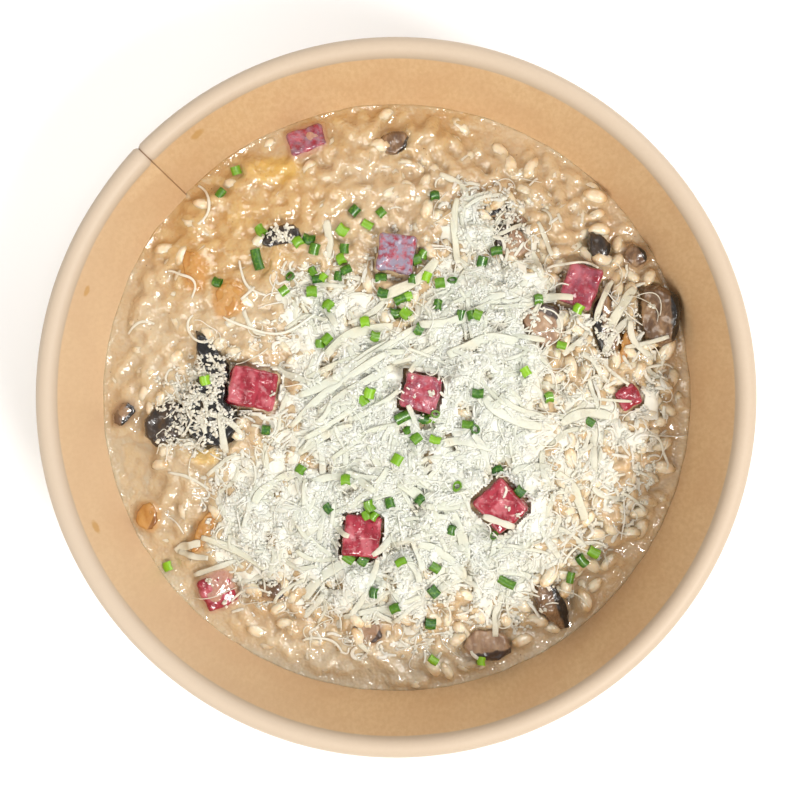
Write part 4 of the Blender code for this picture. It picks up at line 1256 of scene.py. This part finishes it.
def chive_shape():
    """A cut ring of chive one unit long, hollow, drawn from a circle that is extruded and walled."""
    deselect()
    bpy.ops.mesh.primitive_circle_add(vertices=CHIVE_SIDES, radius=CHIVE_RADIUS, fill_type="NOTHING")
    piece = bpy.context.object
    bpy.ops.object.mode_set(mode="EDIT")
    bpy.ops.mesh.select_all(action="SELECT")
    bpy.ops.mesh.extrude_region_move(TRANSFORM_OT_translate={"value": (0, 0, 0.5)})
    bpy.ops.mesh.extrude_region_move(TRANSFORM_OT_translate={"value": (0, 0, 0.5)})
    bpy.ops.object.mode_set(mode="OBJECT")
    points = points_of(piece.data)
    points[:, 2] -= 0.5
    outer = [list(f.vertices) for f in piece.data.polygons]
    count = len(points)
    inner = points.copy()
    inner[:, :2] *= 1 - CHIVE_WALL / CHIVE_RADIUS
    faces = outer + [[count + i for i in face][::-1] for face in outer]
    ends = ((points[:, 2] < -0.4), (points[:, 2] > 0.4))
    for flip, end in enumerate(ends):
        ring = sorted(np.flatnonzero(end), key=lambda i: math.atan2(points[i, 1], points[i, 0]))
        for i, j in zip(ring, ring[1:] + ring[:1]):
            face = [int(i), int(j), int(count + j), int(count + i)]
            faces.append(face if flip else face[::-1])
    bpy.data.objects.remove(piece)
    return np.concatenate([points, inner])[:, [2, 1, 0]], faces


def make_chives(relief, finish):
    draw = random.Random(13)
    base, outline = chive_shape()
    points, faces, tones, start = [], [], [], 0
    for px, py, long_side in CHIVES:
        x, y = seen_at(px, py, TOPPING_HEIGHT)
        length = long_side * MM * CHIVE_SHORTENING
        standing = long_side < CHIVE_STANDING
        turn = draw.uniform(0, math.pi)
        pitch = math.radians(CHIVE_TILT) if standing else draw.uniform(-0.25, 0.25)
        squash = draw.uniform(*CHIVE_SQUASHES)
        girth = draw.uniform(*CHIVE_GIRTHS)
        ends = np.array((-0.4, 0, 0.4)) * length * math.cos(pitch)
        ground = float(relief.at(x + ends * math.cos(turn), y + ends * math.sin(turn)).mean())
        shape = base.copy()
        shape[:, 1] += 0.12 * CHIVE_RADIUS * (1 - 4 * shape[:, 0] ** 2) * draw.uniform(0, 3)
        shape = shape * (length, girth, girth * squash)
        matrix = np.array(Euler((draw.uniform(-0.4, 0.4), -pitch, turn), "XYZ").to_matrix())
        lift = CHIVE_RADIUS * girth * squash * 0.7
        points.append(shape @ matrix.T + (x, y, ground + lift))
        faces += [[start + i for i in face] for face in outline]
        tones.append(np.full(len(shape), draw.random() ** 1.8))
        start += len(shape)
    piece = new_piece("chives", np.concatenate(points), faces)
    add_tone(piece, "tone", np.concatenate(tones))
    recalculate()
    piece.data.set_sharp_from_angle(angle=math.radians(50))
    keep("chives", finish)


# Floor, lamps and camera


def make_stage():
    deselect()
    bpy.ops.mesh.primitive_plane_add(size=4)
    floor = bpy.context.object
    floor.name = "studio_floor"
    floor.data.materials.append(Finish("studio_white").done(Base_Color=(0.95, 0.95, 0.95, 1), Roughness=0.9))
    world = bpy.data.worlds.new("studio") if bpy.context.scene.world is None else bpy.context.scene.world
    bpy.context.scene.world = world
    world.use_nodes = True
    background = world.node_tree.nodes["Background"]
    background.inputs["Color"].default_value = (1.0, 0.99, 0.98, 1)
    background.inputs["Strength"].default_value = 0.5
    bpy.context.scene.view_settings.view_transform = "Standard"
    for name, place, size, power, colour in LAMPS:
        lamp = bpy.data.lights.new(name, "AREA")
        lamp.size, lamp.energy, lamp.color = size, power, colour
        lamp_object = bpy.data.objects.new(name, lamp)
        bpy.context.scene.collection.objects.link(lamp_object)
        lamp_object.location = place
        lamp_object.rotation_euler = Vector(place).to_track_quat("Z", "Y").to_euler()
    camera = bpy.data.cameras.new("camera")
    camera.lens, camera.sensor_width = LENS, SENSOR
    camera_object = bpy.data.objects.new("camera", camera)
    bpy.context.scene.collection.objects.link(camera_object)
    camera_object.location = CAMERA
    bpy.context.scene.camera = camera_object


def make_bowl():
    board = kraft_board()
    make_wall(board)
    for slot in bpy.data.objects["bowl_base"].material_slots:
        slot.material = board


def make_rice_and_sauce(relief, tops, ham_tops, mushroom_tops):
    """Grains fall on the heap round the toppings, and sauce fills in between them and runs over them."""
    toppings = np.maximum(ham_tops, mushroom_tops)
    sunken = np.maximum.reduce([tops[node] - SUNKEN[node] * MM for node in SUNKEN])
    stains = {name: blurred((np.maximum.reduce([tops[node] for node in nodes]) > 0).astype(float), 0.7 * MM)
              for name, nodes in STAINS.items()}

    heap = heap_heights(relief)
    clumps = relief.bumps(CLUMP_SIZE, 12)
    clumps += 0.5 * relief.bumps(CLUMP_SIZE * 0.45, 15)
    ring = np.clip((relief.radius - rice_edge(relief.angle)) / (3 * MM) + 0.5, 0, 1)
    ring_floor = SAUCE_LEVEL - around(RING_FLOORS, relief.angle) * MM + 0.6 * MM * clumps
    ring_floor -= places_field(relief, SMOOTH_POOLS) * MM
    relief.height = ring_floor * ring + (heap + CLUMP_RISE * clumps - GRAIN_BED) * (1 - ring)
    climbing = np.maximum(relief.height, mushroom_tops - CLIMB_DEPTH)
    relief.height = np.where(mushroom_tops > 0, climbing, relief.height)
    places = drop_grains(relief, np.where(ham_tops > 0, 1.0, np.where(mushroom_tops > 0, 0.6, 0.0)))
    wet = places_field(relief, WET_PLACES) + 0.25 * relief.bumps(8 * MM, 4)
    wet = np.clip(wet + 0.1, 0.05, 1)
    patches = relief.bumps(2.6 * MM, 31)
    relief.height = np.where(toppings > 0, heap + (1.1 * wet - 0.4) * MM, relief.height)
    relief.height = np.where(sunken > 0, sunken + 0.4 * MM * patches, relief.height)
    stains["wet"] = wet
    stains["lump"] = (relief.height - blurred(relief.height, 1.8 * MM)) / MM
    surface, cover = sauce_heights(relief, wet)
    shown = [p for p in places if p[2] + GRAIN_HEIGHT * 0.55 > float(relief.at(p[0], p[1], surface))]
    scatter("rice_grains", grain_shapes(), shown)
    keep("rice_grains", cooked_rice(), ("rice",))
    make_sauce(relief, surface, cover, stains, creamy_sauce())
    relief.height = np.maximum(np.maximum(relief.height, surface), toppings)


def main():
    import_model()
    make_stage()
    make_bowl()

    relief = Relief()
    tops = {}
    ham_tops = make_ham(relief, tops, cured_ham())
    finishes = {kind: cooked_mushroom(kind, *look) for kind, look in MUSHROOM_LOOKS.items()}
    mushroom_tops = make_mushrooms(relief, tops, finishes)
    make_rice_and_sauce(relief, tops, ham_tops, mushroom_tops)

    density = cheese_density(relief, ham_tops, mushroom_tops)
    cheese = grated_cheese()
    make_cheese_bed(relief, density, cheese)
    make_shreds(relief, density, ham_tops, cheese)
    make_shavings(relief, density, cheese)
    make_crumbs(relief, density, ham_tops, cheese)
    make_chives(relief, chive_green())


main()
